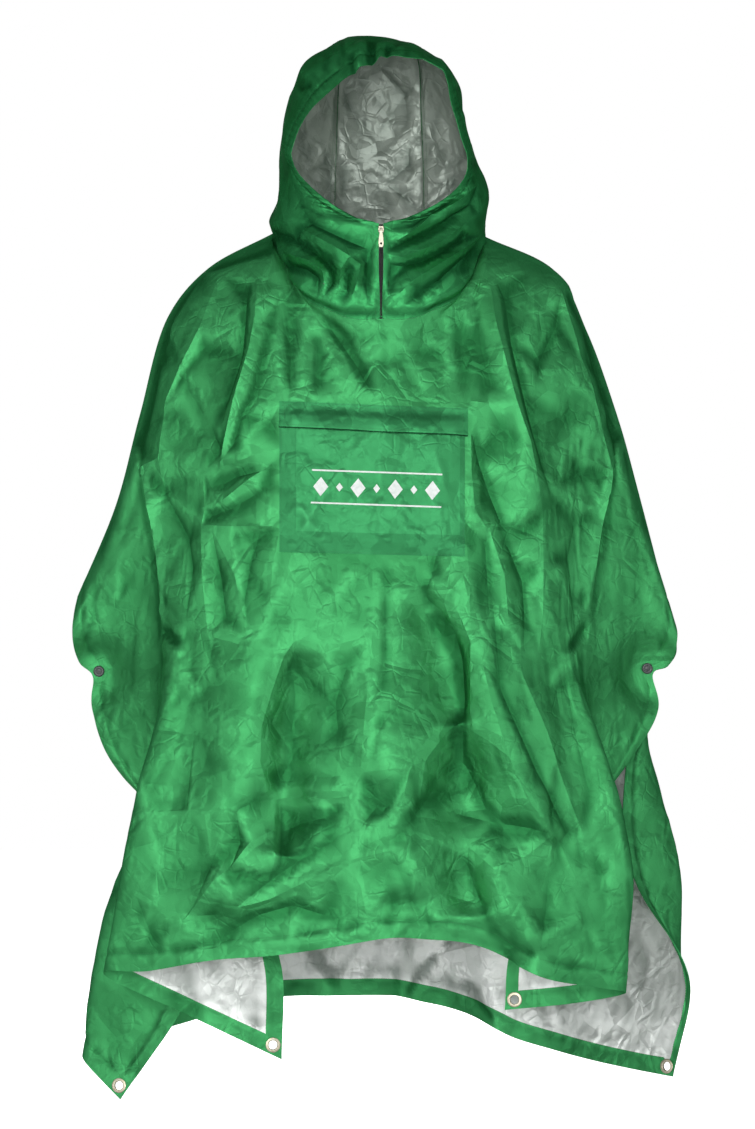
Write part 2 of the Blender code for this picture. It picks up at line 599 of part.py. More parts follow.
# The pull tab hangs on the pin: half widths down its length from the pin.
TAB = ((0.6, 1.5), (0.0, 1.8), (-2.5, 1.8), (-7.0, 2.2), (-13.0, 3.0), (-18.0, 3.3),
       (-21.5, 2.9), (-23.4, 1.7))
TAB_THICK = 1.4
profile = [(w, z) for z, w in TAB] + [(-w, z) for z, w in reversed(TAB)]
count = len(profile)
tab_points = [(x * MM, y * MM, z * MM) for y in (-TAB_THICK / 2, TAB_THICK / 2) for x, z in profile]
tab_faces = [tuple(range(count)), tuple(range(2 * count - 1, count - 1, -1))]
tab_faces += [(i, (i + 1) % count, count + (i + 1) % count, count + i) for i in range(count)]
tab = solid("zip_pull", tab_points, tab_faces, METAL, Matrix.Translation(Vector(HINGE) * MM))
at_pin = Matrix.Translation(Vector(HINGE) * MM) @ along_x
combine(tab, rod("pull_barrel", PIN_RADIUS + 1.2, 3.6, at_pin, METAL), "UNION")
combine(tab, rod("pull_eye", PIN_RADIUS + 0.35, 12, at_pin, METAL), "DIFFERENCE")
along_y = Matrix.Rotation(math.radians(90), 4, "X")
hole_at = Vector((HINGE[0], HINGE[1], HINGE[2] - 18.6))
hole = rod("pull_hole", 1.5, 6, Matrix.Translation(hole_at * MM) @ along_y, METAL)
combine(tab, hole, "DIFFERENCE")

# ---------------------------------------------------------------- pocket

POCKET_WALL = 1.2
POCKET_SIDES = (-137, 113)  # x, right and left
POCKET_TOP = (-222, -232)  # z at both sides, under the flap
POCKET_HEM = (-408, -414)
FLAP_SIDES = (-137, 117)
FLAP_TOP = (-204, -214)
FLAP_EDGE = (-240, -252)
FLAP_BEND = (-211, -221)  # below this the flap rises over the pocket
FLAP_DROOP = 1.6  # its free edge stands off by this much more


def bvh_of(ob):
    points = [v.co.copy() for v in ob.data.vertices]
    return BVHTree.FromPolygons(points, [tuple(f.vertices) for f in ob.data.polygons])


chest = bvh_of(front)


def cut_line(sides, ends):
    """A place on a line across the front view, and the way square to it."""
    a, b = (Vector(real((x, -140, z))) * MM for x, z in zip(sides, ends))
    return a, Vector((a.z - b.z, 0, b.x - a.x)).normalized()


def chest_patch(sides, top, low, bends=()):
    """The chest's own outer faces inside four lines, cut along the bends."""
    outer = front_mid + front_n * WALL / 2
    rows, cols = outer.shape[:2]
    body = bmesh.new()
    made = [body.verts.new(Vector(p) * MM) for p in outer.reshape(-1, 3)]
    for r in range(rows - 1):
        for c in range(CENTRE - 14, CENTRE + 14):
            quad = [r * cols + c, r * cols + c + 1, (r + 1) * cols + c, (r + 1) * cols + c + 1]
            one = (made[quad[0]].co - made[quad[3]].co).length
            two = (made[quad[2]].co - made[quad[1]].co).length
            a, b, d, e = (made[i] for i in quad)
            for face in (((a, b, e), (a, e, d)) if one < two else ((a, b, d), (b, e, d))):
                body.faces.new(face)
    bmesh.ops.recalc_face_normals(body, faces=body.faces)
    high, way = cut_line(sides, top)
    foot, _ = cut_line(sides, low)
    planes = [(high, way), (foot, -way)]
    planes += [(Vector(real((x, -140, 0))) * MM, Vector((s, 0, 0))) for x, s in zip(sides, (-1, 1))]
    for place, out in planes:
        bmesh.ops.bisect_plane(body, geom=body.verts[:] + body.edges[:] + body.faces[:],
                               dist=1e-6, plane_co=place, plane_no=out, clear_outer=True)
    for bend in bends:
        place, out = cut_line(sides, bend)
        bmesh.ops.bisect_plane(body, geom=body.verts[:] + body.edges[:] + body.faces[:],
                               dist=1e-6, plane_co=place, plane_no=out)
    loose = [v for v in body.verts if not v.link_faces]
    bmesh.ops.delete(body, geom=loose, context="VERTS")
    bmesh.ops.triangulate(body, faces=body.faces)
    short = 1.5 * MM
    bmesh.ops.remove_doubles(body, verts=body.verts, dist=short)
    if body.faces[:][0].normal.y > 0:
        bmesh.ops.reverse_faces(body, faces=body.faces)
    body.normal_update()
    return body


def patch_wall(name, body, off, thick, mat):
    """A wall over a patch of the chest; off gives each point's height."""
    verts = body.verts[:]
    number = {v: i for i, v in enumerate(verts)}
    low = [v.co + v.normal * off(v.co) * MM for v in verts]
    high = [p + v.normal * thick * MM for p, v in zip(low, verts)]
    n = len(verts)
    faces = []
    for f in body.faces:
        ring = [number[v] for v in f.verts]
        faces += [tuple(n + i for i in ring), tuple(reversed(ring))]
    for edge in body.edges:
        if len(edge.link_faces) == 1:
            a, b = (number[v] for v in edge.verts)
            faces += [(a, b, n + b), (a, n + b, n + a)]
    body.free()
    return solid(name, low + high, faces, mat)


def below(sides, ends):
    """How far a point lies below a line across the front view, in millimetres."""
    place, way = cut_line(sides, ends)
    return lambda co: -(co - place).dot(way) / MM


patch_wall("pocket", chest_patch(POCKET_SIDES, POCKET_TOP, POCKET_HEM), lambda co: GAP,
           POCKET_WALL, CLOTH)
past_bend = below(FLAP_SIDES, FLAP_BEND)
flap_deep = FLAP_BEND[0] - FLAP_EDGE[0]
pocket_start = [z + 4 for z in POCKET_TOP]
climb = FLAP_BEND[0] - pocket_start[0]  # over which the flap clears the pocket


def flap_off(co):
    step = min(max(past_bend(co) / climb, 0), 1)
    droop = min(max((past_bend(co) - climb) / (flap_deep - climb), 0), 1)
    return GAP + step * (POCKET_WALL + GAP * 2) + droop * FLAP_DROOP


patch_wall("pocket_flap", chest_patch(FLAP_SIDES, FLAP_TOP, FLAP_EDGE, (FLAP_BEND, pocket_start)),
           flap_off, POCKET_WALL, CLOTH)

# ---------------------------------------------------------------- eyelets

EYELET_OUTER, EYELET_INNER = 10.0, 5.8
CLOTH_HOLE = 7.6
EYELET_RIM = 0.9  # the thickness of its two flanges
EYELET_GRIP = WALL + 1.0  # between them
SEGMENTS = 20


def eyelet(name, place):
    """Two flanges and a barrel, turned about Z."""
    barrel = CLOTH_HOLE - 0.5
    high, low = EYELET_GRIP / 2 + EYELET_RIM, EYELET_GRIP / 2
    profile = ((EYELET_INNER, -high + 0.3), (EYELET_INNER + 0.3, -high), (EYELET_OUTER, -high),
               (EYELET_OUTER, -low), (barrel, -low), (barrel, low), (EYELET_OUTER, low),
               (EYELET_OUTER, high), (EYELET_INNER + 0.3, high), (EYELET_INNER, high - 0.3))
    n = len(profile)
    points, faces = [], []
    for k in range(SEGMENTS):
        turn = 2 * math.pi * k / SEGMENTS
        points += [(r * math.cos(turn) * MM, r * math.sin(turn) * MM, z * MM) for r, z in profile]
        for i in range(n):
            a, b = k * n + i, k * n + (i + 1) % n
            d, e = ((k + 1) % SEGMENTS) * n + i, ((k + 1) % SEGMENTS) * n + (i + 1) % n
            faces.append((a, b, e, d))
    return solid(name, points, faces, BRASS, place)


def corner_frame(middle, col):
    """Where a hem corner's eyelet sits."""
    corner, inward, upward, normal = corner_plane(middle, col)
    slant = 1 / max(np.linalg.norm(np.cross(inward, upward)), 0.3)
    return frame_at(corner + (inward + upward) * EYELET_IN * slant, normal)


for name, panel, middle, col in (
    ("eyelet_front_right", front, front_mid, 0),
    ("eyelet_front_left", front, front_mid, -1),
    ("eyelet_back_right", back, back_mid, 0),
    ("eyelet_back_left", back, back_mid, -1),
):
    place = corner_frame(middle, col)
    cutter = rod(f"{name}_hole", CLOTH_HOLE, 12, place, CLOTH, SEGMENTS)
    combine(panel, cutter, "DIFFERENCE")
    eyelet(name, place)

# ---------------------------------------------------------------- snaps

SNAP_IN = 11.0  # from the side edge
SNAP_RADIUS, SNAP_CAP = 7.5, 2.4
STUD_RADIUS = 4.5


def snap_point(middle, facing, col):
    """The panel's middle and direction near its side edge at the snap."""
    row = int(np.argmin(np.abs(DOWN - SNAP_LEVEL)))
    edge, inner = middle[row, col], middle[row, col + (1 if col == 0 else -1)]
    n = unit(np.cross(inner - edge, middle[row + 1, col] - middle[row - 1, col]))
    return edge + unit(inner - edge) * SNAP_IN, n * np.sign(n[1] * facing)


def clearance(tree, at, way, radius):
    """How far a disc round this place can move along way before it touches."""
    place = frame_at(at, way)
    reach = []
    for k in range(13):
        turn, r = k * math.pi / 6, (0 if k == 12 else radius)
        start = place @ Vector((r * math.cos(turn) * MM, r * math.sin(turn) * MM, 0))
        hit = tree.ray_cast(start, Vector(way).normalized())
        reach.append(hit[3] / MM if hit[0] else 1e3)
    return min(reach)


def seat(name, tree, at, n):
    """A cap on the outer face of a panel."""
    start = at + n * 25
    down = clearance(tree, start, -n, SNAP_RADIUS)
    rod(name, SNAP_RADIUS, SNAP_CAP, frame_at(start - n * (down - GAP - SNAP_CAP / 2), n),
        SNAP_GREY, 16, False)


back_tree = bvh_of(back)
for side, col in (("right", 0), ("left", -1)):
    at_front, n_front = snap_point(front_mid, -1.0, col)
    at_back, n_back = snap_point(back_mid, 1.0, col)
    seat(f"snap_cap_{side}", chest, at_front, n_front)
    seat(f"snap_post_{side}", back_tree, at_back, n_back)
    middle, way = (at_front + at_back) / 2, unit(at_front - at_back)
    ahead = clearance(chest, middle, way, STUD_RADIUS) - GAP
    behind = clearance(back_tree, middle, -way, STUD_RADIUS) - GAP
    rod(f"snap_stud_{side}", STUD_RADIUS, ahead + behind,
        frame_at(middle + way * (ahead - behind) / 2, way), SNAP_GREY, 12, False)
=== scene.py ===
"""The looks of a hooded rain poncho of coated nylon, green outside and silver inside.

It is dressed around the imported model, in its frame: +Z up, the front faces -Y,
the wearer's right is at -X. Tables are in millimetres, and x and z in them are
as a front view from 5 m away shows them. Each cloth piece is a thin shell on
the surface of its solid, with its creases pushed out or in along its normals.
"""

import math

import bpy
import numpy as np
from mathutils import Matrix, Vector
from mathutils.bvhtree import BVHTree
from mathutils.geometry import delaunay_2d_cdt


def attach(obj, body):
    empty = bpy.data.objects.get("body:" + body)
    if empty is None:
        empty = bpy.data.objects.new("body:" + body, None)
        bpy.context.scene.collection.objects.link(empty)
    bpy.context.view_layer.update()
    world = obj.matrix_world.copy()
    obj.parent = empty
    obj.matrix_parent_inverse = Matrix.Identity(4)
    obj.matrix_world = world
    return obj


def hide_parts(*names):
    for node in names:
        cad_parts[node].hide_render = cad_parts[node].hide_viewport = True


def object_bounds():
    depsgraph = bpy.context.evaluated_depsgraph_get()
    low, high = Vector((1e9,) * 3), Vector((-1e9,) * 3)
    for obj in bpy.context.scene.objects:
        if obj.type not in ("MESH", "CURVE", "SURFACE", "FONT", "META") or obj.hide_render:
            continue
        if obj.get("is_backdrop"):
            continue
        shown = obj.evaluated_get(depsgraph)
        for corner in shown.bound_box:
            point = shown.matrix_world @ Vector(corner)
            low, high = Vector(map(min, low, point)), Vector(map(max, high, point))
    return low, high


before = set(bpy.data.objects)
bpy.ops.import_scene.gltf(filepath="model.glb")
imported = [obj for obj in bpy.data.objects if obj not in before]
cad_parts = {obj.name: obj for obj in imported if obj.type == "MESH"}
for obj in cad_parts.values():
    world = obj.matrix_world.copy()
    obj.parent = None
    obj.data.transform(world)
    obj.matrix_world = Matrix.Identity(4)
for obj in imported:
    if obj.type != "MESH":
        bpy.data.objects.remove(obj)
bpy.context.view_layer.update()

MM = 0.001
THICK = 0.9  # of a cloth shell
GAP = 0.3  # between pieces at a seam
HALF_WIDTH = 720.0  # of the flat cloth, from the centre to a side edge
ZIP_HALF = 3.0  # from the centre to the hood's front edges
HEM = 24.0  # the turned hem of every free edge
VIEW_FROM = 5000.0  # the front view's eye is this far off
VIEW_LEVEL = -425.0  # and at this height

# ---------------------------------------------------------------- tables
# Levels run down a panel: 0 is its top edge, 1 its hem.
LEVELS = (0.0, 0.035, 0.10, 0.20, 0.35, 0.50, 0.66, 0.82, 0.91, 1.0)

# Lines run across a panel, by their distance along the cloth from the centre.
LINES = dict(centre=0, collar=62, cheek=100, nape=118, neck=135, shoulder=240,
             arm=335, fold=455, under=590, edge=HALF_WIDTH)

# The neck seam: x, y, z from the centre to the side of the neck.
NECK_FRONT = dict(centre=(0, -118, -93), collar=(62, -112, -85),
                  cheek=(113, -85, -50), nape=(131, -50, -2))
NECK_BACK = dict(centre=(0, 90, 10), collar=(62, 82, 13),
                 cheek=(100, 62, 19), nape=(128, 34, 22))

# The top edge of front and back, from the neck along the shoulder and the arm.
TOP_RIGHT = dict(neck=(-146, 22), shoulder=(-234, -26), arm=(-287, -90),
                 fold=(-325, -222), under=(-358, -346))
TOP_LEFT = dict(neck=(140, 18), shoulder=(236, -30), arm=(278, -111),
                fold=(318, -222), under=(347, -326))
WRIST = dict(right=(-409, -468), left=(388, -484))  # where the top edge ends

# Below the top edge: (x, y, z) at each further level, top to hem.
FRONT_RIGHT = dict(
    centre=((0, -127, -125), (0, -133, -180), (0, -137, -280), (0, -146, -430),
            (2, -158, -570), (5, -174, -710), (8, -186, -830), (10, -190, -885), (12, -192, -929)),
    neck=((-146, -45, 8), (-141, -84, -52), (-137, -118, -190), (-134, -136, -360),
          (-133, -148, -525), (-134, -162, -700), (-137, -173, -840), (-139, -176, -900), (-140, -178, -952)),
    shoulder=((-233, -38, -36), (-227, -70, -86), (-216, -96, -205), (-207, -114, -365), (-203, -130, -525),
              (-208, -148, -700), (-218, -160, -845), (-224, -162, -905), (-229, -162, -959)),
    arm=((-284, -34, -98), (-273, -60, -144), (-259, -80, -262), (-250, -96, -400),
         (-248, -114, -545), (-262, -134, -710), (-289, -142, -852), (-301, -141, -912), (-311, -138, -973)),
    fold=((-320, -32, -228), (-309, -50, -268), (-294, -64, -350), (-283, -80, -450),
          (-284, -102, -560), (-321, -120, -708), (-350, -120, -842), (-363, -118, -912), (-375, -114, -977)),
    under=((-355, -27, -351), (-350, -40, -396), (-340, -46, -450), (-330, -48, -520),
           (-316, -50, -600), (-280, -58, -735), (-262, -70, -880), (-258, -76, -960), (-254, -80, -1036)),
    edge=((-414, -14, -492), (-416, -20, -524), (-408, -14, -554), (-389, -4, -576),
          (-389, -8, -624), (-346, -22, -714), (-180, -50, -870), (-135, -56, -965), (-134, -62, -1093)),
)
FRONT_LEFT = dict(
    centre=FRONT_RIGHT["centre"],
    neck=((140, -45, 5), (137, -84, -54), (134, -118, -192), (131, -136, -362),
          (129, -148, -525), (129, -162, -695), (131, -173, -830), (132, -176, -886), (132, -178, -940)),
    shoulder=((237, -38, -42), (229, -70, -92), (214, -96, -208), (203, -114, -365),
              (197, -130, -525), (199, -148, -700), (207, -160, -850), (212, -162, -918), (217, -162, -982)),
    arm=((273, -34, -117), (263, -60, -158), (252, -80, -266), (243, -96, -402),
         (239, -114, -545), (250, -134, -710), (272, -142, -860), (281, -141, -930), (288, -138, -995)),
    fold=((313, -32, -228), (301, -50, -270), (284, -64, -352), (268, -80, -450),
          (266, -102, -560), (309, -120, -706), (340, -120, -855), (335, -118, -930), (330, -114, -1003)),
    under=((343, -27, -332), (337, -40, -375), (330, -46, -440), (320, -48, -520),
           (298, -50, -600), (262, -58, -730), (258, -70, -870), (258, -76, -950), (260, -80, -1017)),
    edge=((396, -14, -505), (399, -20, -536), (388, -14, -560), (367, -4, -573),
          (374, -8, -622), (332, -22, -694), (215, -50, -850), (175, -56, -945), (167, -62, -1026)),
)
BACK_RIGHT = dict(
    centre=((0, 110, -20), (0, 126, -90), (0, 134, -205), (0, 140, -365),
            (0, 146, -530), (2, 156, -710), (6, 168, -870), (10, 174, -948), (14, 178, -1007)),
    neck=((-145, 40, 10), (-142, 80, -44), (-139, 106, -175), (-136, 120, -345),
          (-135, 130, -520), (-139, 142, -705), (-147, 156, -870), (-152, 162, -945), (-156, 166, -1010)),
    shoulder=((-233, 36, -35), (-229, 66, -84), (-223, 88, -205), (-217, 100, -365),
              (-214, 108, -525), (-220, 118, -705), (-236, 130, -875), (-246, 136, -960), (-253, 138, -1040)),
    arm=((-284, 32, -98), (-279, 54, -146), (-274, 70, -265), (-272, 78, -402),
         (-273, 84, -548), (-283, 90, -718), (-306, 98, -885), (-319, 102, -975), (-329, 102, -1062)),
    fold=((-321, 30, -228), (-313, 46, -266), (-305, 58, -352), (-298, 66, -452),
          (-296, 68, -562), (-304, 64, -728), (-349, 58, -885), (-367, 56, -985), (-380, 52, -1079)),
    under=((-355, 26, -351), (-349, 40, -390), (-343, 50, -446), (-336, 50, -520),
           (-328, 44, -612), (-316, 30, -738), (-364, 22, -888), (-386, 20, -1000), (-402, 14, -1092)),
    edge=((-414, 14, -492), (-416, 20, -524), (-408, 15, -554), (-389, 2, -576),
          (-388, 4, -622), (-338, -4, -716), (-275, -18, -870), (-252, -18, -990), (-352, -12, -1147)),
)
BACK_LEFT = dict(
    centre=BACK_RIGHT["centre"],
    neck=((140, 40, 7), (138, 80, -46), (135, 106, -177), (133, 120, -346),
          (131, 130, -520), (130, 142, -705), (128, 156, -872), (122, 162, -955), (112, 166, -1029)),
    shoulder=((237, 36, -41), (231, 66, -90), (223, 88, -208), (215, 100, -366),
              (211, 108, -525), (212, 120, -705), (210, 134, -875), (198, 142, -965), (176, 146, -1062)),
    arm=((274, 32, -117), (269, 54, -160), (266, 70, -268), (266, 78, -404),
         (269, 84, -548), (280, 92, -718), (286, 104, -880), (268, 112, -975), (234, 116, -1080)),
    fold=((314, 30, -228), (306, 46, -270), (298, 58, -354), (292, 66, -452),
          (296, 68, -562), (330, 66, -722), (356, 70, -880), (334, 80, -985), (286, 84, -1094)),
    under=((344, 26, -332), (339, 40, -376), (335, 50, -442), (334, 50, -520),
           (342, 44, -612), (380, 32, -738), (404, 24, -880), (394, 34, -985), (346, 42, -1107)),
    edge=((396, 14, -505), (399, 20, -536), (388, 15, -560), (367, 2, -573),
          (373, 4, -622), (331, -4, -696), (346, -16, -860), (416, 0, -985), (394, 8, -1116)),
)
# The largest folds of the front: ends, how far it stands out (or in) and width.
FRONT_FOLDS = (
    # x1, z1, x2, z2, out, width
    (-112, -540, -138, -815, -20, 30),
    (52, -455, 104, -640, -16, 26),
    (104, -640, 118, -900, -22, 32),
    (128, -500, 232, -800, 13, 32),
    (10, -560, 40, -880, 11, 38),
    (-175, -520, -230, -900, 12, 46),
    (165, -60, 215, -370, 10, 26),
    (-170, -30, -205, -290, 9, 26),
    (-60, -640, 60, -760, 6, 40),
    (90, -760, 205, -950, 10, 30),
    (-230, -900, -60, -760, 9, 30),
)
BACK_FOLDS = (
    (0, -500, 28, -1080, -14, 24),
    (-90, -420, -120, -1080, 14, 50),
    (60, -650, 90, -1080, 14, 34),
    (130, -700, 150, -1100, -13, 26),
    (-190, -600, -230, -1100, -14, 40),
    (190, -450, 230, -1100, 10, 40),
    (-150, -60, -120, -420, 9, 34),
    (140, -60, 120, -420, 9, 34),
)

# The hood's side panels: a row for each section from the neck seam up to the
# crown seam, each from the front edge back to the crown seam.
HOOD_AT = (0.0, 0.12, 0.24, 0.33, 0.44, 0.56, 0.68, 0.80, 0.91, 1.0)
HOOD_ACROSS = (0.0, 0.16, 0.36, 0.58, 0.80, 1.0)
HOOD_RIGHT = (
    ((-3, -118, -92), (-88, -103, -73), (-131, -50, -1), (-146, 0, 23), (-125, 40, 23), (-61, 82, 14)),
    ((-3, -124, -30), (-92, -112, -26), (-137, -58, 20), (-151, -6, 40), (-128, 50, 45), (-61, 91, 42)),
    ((-3, -123, 33), (-70, -117, 32), (-124, -76, 46), (-141, -10, 62), (-122, 59, 74), (-60, 101, 78)),
    ((-34, -119, 44), (-92, -106, 54), (-128, -66, 66), (-139, -8, 80), (-120, 63, 94), (-60, 107, 102)),
    ((-78, -113, 71), (-112, -90, 80), (-131, -55, 90), (-138, -4, 104), (-118, 66, 120), (-59, 112, 130)),
    ((-117, -107, 112), (-128, -80, 118), (-134, -45, 126), (-137, 1, 140), (-114, 67, 156), (-58, 115, 166)),
    ((-115, -104, 152), (-125, -78, 157), (-130, -42, 165), (-130, 4, 178), (-107, 60, 194), (-57, 108, 206)),
    ((-97, -110, 187), (-109, -82, 197), (-116, -46, 208), (-115, -1, 218), (-93, 46, 232), (-55, 90, 243)),
    ((-72, -119, 212), (-88, -94, 234), (-98, -58, 249), (-98, -16, 258), (-81, 24, 265), (-52, 64, 268)),
    ((-46, -127, 234), (-52, -104, 258), (-55, -68, 275), (-56, -28, 282), (-55, 4, 282), (-51, 34, 278)),
)
HOOD_LEFT = (
    ((3, -118, -92), (88, -103, -74), (127, -50, -3), (140, 0, 19), (120, 40, 21), (57, 82, 14)),
    ((3, -124, -30), (90, -112, -27), (131, -58, 18), (139, -6, 37), (120, 50, 44), (57, 91, 42)),
    ((3, -123, 33), (70, -117, 34), (132, -74, 46), (141, -10, 60), (120, 59, 74), (56, 101, 78)),
    ((36, -119, 44), (96, -106, 50), (137, -66, 62), (143, -8, 76), (118, 63, 94), (56, 107, 102)),
    ((84, -113, 68), (120, -90, 76), (138, -55, 86), (138, -4, 100), (115, 66, 120), (55, 112, 130)),
    ((118, -107, 108), (126, -80, 114), (126, -45, 124), (124, 1, 138), (106, 67, 156), (54, 115, 166)),
    ((107, -104, 155), (114, -78, 160), (113, -42, 168), (110, 4, 180), (97, 60, 194), (53, 108, 206)),
    ((95, -110, 200), (105, -82, 206), (107, -46, 214), (105, -1, 222), (88, 46, 232), (52, 90, 242)),
    ((85, -120, 238), (90, -94, 244), (88, -58, 249), (82, -16, 253), (69, 24, 257), (49, 64, 262)),
    ((58, -127, 258), (57, -104, 266), (55, -68, 271), (52, -28, 274), (50, 4, 275), (47, 34, 272)),
)
CROWN_RISE = 10  # of the crown strip's middle over its seams
BRIM_TOP = (13, -131, 262)  # the brim's middle, x, y and z

# ---------------------------------------------------------------- surfaces

def through(stations, values, at):
    """Smooth curves through rows of values, one row for each station."""
    t, v = np.asarray(stations, float), np.asarray(values, float)
    at = np.asarray(at, float)
    step = np.diff(t).reshape(-1, *[1] * (v.ndim - 1))
    rise = np.diff(v, axis=0) / step
    slope = np.empty_like(v)
    slope[1:-1] = (rise[:-1] * step[1:] + rise[1:] * step[:-1]) / (step[:-1] + step[1:])
    slope[0], slope[-1] = rise[0], rise[-1]
    k = np.clip(np.searchsorted(t, at, side="right") - 1, 0, len(t) - 2)
    h = (t[k + 1] - t[k]).reshape(-1, *[1] * (v.ndim - 1))
    s = ((at - t[k]) / (t[k + 1] - t[k])).reshape(-1, *[1] * (v.ndim - 1))
    return (
        (1 + 2 * s) * (1 - s) ** 2 * v[k]
        + s * (1 - s) ** 2 * h * slope[k]
        + s**2 * (3 - 2 * s) * v[k + 1]
        + s**2 * (s - 1) * h * slope[k + 1]
    )


def unit(v):
    """Vectors at length 1."""
    return v / np.maximum(np.linalg.norm(v, axis=-1, keepdims=True), 1e-9)


def real(points):
    """From front-view sizes to real ones."""
    p = np.array(points, float)
    k = 1 + p[..., 1] / VIEW_FROM
    p[..., 0] *= k
    p[..., 2] = VIEW_LEVEL + (p[..., 2] - VIEW_LEVEL) * k
    return p


NEAR_SEAM = 0.42  # level 1 lies this share of the way from the neck seam to level 2


def cloth_lines(tables, neck, facing):
    """Every line of a panel, right edge to left edge, as rows of levels."""
    stations, columns = [], []
    for sign, table, top, wrist in ((-1, tables[0], TOP_RIGHT, WRIST["right"]),
                                    (1, tables[1], TOP_LEFT, WRIST["left"])):
        side = {}
        starts = {name: (x, 0, z) for name, (x, z) in top.items()}
        starts.update(centre=neck["centre"], edge=(wrist[0], facing * 2, wrist[1]))
        for name, first in starts.items():
            side[name] = np.array([first, *table[name]], float)
        # The lines between the centre and the neck start on the neck seam.
        known = [LINES["centre"], LINES["neck"], LINES["shoulder"]]
        rows = np.stack([side["centre"], side["neck"], side["shoulder"]])
        for name in ("collar", "cheek", "nape"):
            line = through(known, rows, [LINES[name]])[0]
            x, y, z = neck[name]
            line[0] = (sign * x, y, z)
            side[name] = line
        for name in ("centre", "collar", "cheek", "nape"):
            line = side[name]
            line[1] = line[0] + (line[2] - line[0]) * NEAR_SEAM
        for name, distance in LINES.items():
            if sign < 0 or name != "centre":
                stations.append(sign * distance)
                columns.append(side[name])
    order = np.argsort(stations)
    return np.array(stations, float)[order], np.stack(columns)[order]


def by_line(x, z, x1, z1, x2, z2):
    """How far along a line points are, 0 to 1 between its ends, and how far off it."""
    run = (x2 - x1, z2 - z1)
    length = math.hypot(*run)
    along = ((x - x1) * run[0] + (z - z1) * run[1]) / length**2
    return along, ((x - x1) * run[1] - (z - z1) * run[0]) / length


FOLD_ENDS = (0.25, 0.12)  # a fold rises and falls over these shares of its length


def fold_push(x, z, folds):
    """How far the folds push a point out, by its place in the front view."""
    push = np.zeros_like(x)
    for *ends, out, width in folds:
        along, off = by_line(x, z, *ends)
        shown = np.clip(along / FOLD_ENDS[0], 0, 1) * np.clip((1 - along) / FOLD_ENDS[1], 0, 1)
        push += out * np.exp(-((off / width) ** 2)) * shown * (2 - shown)
    return push


FOLDS_REACH, FOLDS_FADE = 500, 120  # how far from the centre the folds end, and fade before that
FOLDS_FROM, FOLDS_GROW = 0.02, 0.12  # the level that they start at, and grow over

# Each panel's tables, neck seam and folds, and the way that it faces.
FRONT = ((FRONT_RIGHT, FRONT_LEFT), NECK_FRONT, FRONT_FOLDS, -1.0)
BACK = ((BACK_RIGHT, BACK_LEFT), NECK_BACK, BACK_FOLDS, 1.0)


def panel_points(panel, across, down):
    """The middle surface of a panel at cloth distances and levels."""
    tables, neck, folds, facing = panel
    stations, columns = cloth_lines(tables, neck, facing)
    rows = through(stations, columns, across)
    # The top edge turns a corner at the sides of the neck.
    corners = np.array((-np.inf, -LINES["neck"], LINES["neck"], np.inf))
    for low, high in zip(corners, corners[1:]):
        known = (stations >= low) & (stations <= high)
        asked = (across >= low) & (across <= high)
        for level in (0, 1):
            rows[asked, level] = through(stations[known], columns[known, level], across[asked])
    points = through(LEVELS, rows.transpose(1, 0, 2), down)
    inside = np.clip((FOLDS_REACH - np.abs(across)) / FOLDS_FADE, 0, 1)[None, :]
    level = np.clip((np.asarray(down) - FOLDS_FROM) / FOLDS_GROW, 0, 1)[:, None]
    push = fold_push(points[:, :, 0], points[:, :, 2], folds)
    points[:, :, 1] += facing * push * inside * level
    return real(points)


def normals_of(points, away_from):
    """Unit normals of a grid of points, pointing away from a place."""
    n = unit(np.cross(np.gradient(points, axis=0), np.gradient(points, axis=1)))
    return -n if ((points - np.array(away_from)) * n).sum() < 0 else n


def seen(points):
    """Real points as the front view shows them: x and z."""
    k = 1 + points[..., 1] / VIEW_FROM
    return points[..., 0] / k, VIEW_LEVEL + (points[..., 2] - VIEW_LEVEL) / k


def length_along(path):
    """How far along a path each of its points is."""
    return np.concatenate([[0], np.cumsum(np.linalg.norm(np.diff(path, axis=0), axis=1))])


def far_from_edge(grid, axis):
    """Distance along the cloth from the first row or column."""
    step = np.linalg.norm(np.diff(grid, axis=axis), axis=2)
    zero = np.zeros_like(np.take(step, [0], axis=axis))
    return np.cumsum(np.concatenate([zero, step], axis=axis), axis=axis)


def mean_run(grid, axis):
    """How far along the cloth each row or column is from the first, on average."""
    step = np.linalg.norm(np.diff(grid, axis=axis), axis=2).mean(axis=1 - axis)
    return np.concatenate([[0], np.cumsum(step)])


# ---------------------------------------------------------------- creases

def smooth(a, b, v):
    """0 below a, 1 above b, and smooth between."""
    t = np.clip((v - a) / (b - a), 0, 1)
    return t * t * (3 - 2 * t)


CREASE_LEAN = 0.45  # how much wider a crease may be on one of its sides
CREASE_TOP = 0.3  # of its half width is round
CREASE_START, CREASE_END = (-0.04, 0.22), (-0.04, 0.3)  # shares of its length


def beside(off, width, lean):
    """A crease's height at a distance off it: 1 on it, and wider on one side by lean."""
    side = width * np.where(off > 0, 1 + lean, 1 - lean)
    return np.exp(CREASE_TOP - np.sqrt((off / side) ** 2 + CREASE_TOP**2))


def creased(x, z, table, seed):
    """The push of every crease of a table on points of the front view."""
    rng = np.random.default_rng(seed)
    push = np.zeros_like(x)
    for *ends, out, width, bow in table:
        along, off = by_line(x, z, *ends)
        off = off - bow * (1 - (2 * np.clip(along, 0, 1) - 1) ** 2)
        shown = smooth(*CREASE_START, along) * smooth(*CREASE_END, 1 - along)
        push += out * beside(off, width, rng.uniform(-CREASE_LEAN, CREASE_LEAN)) * shown
    return push


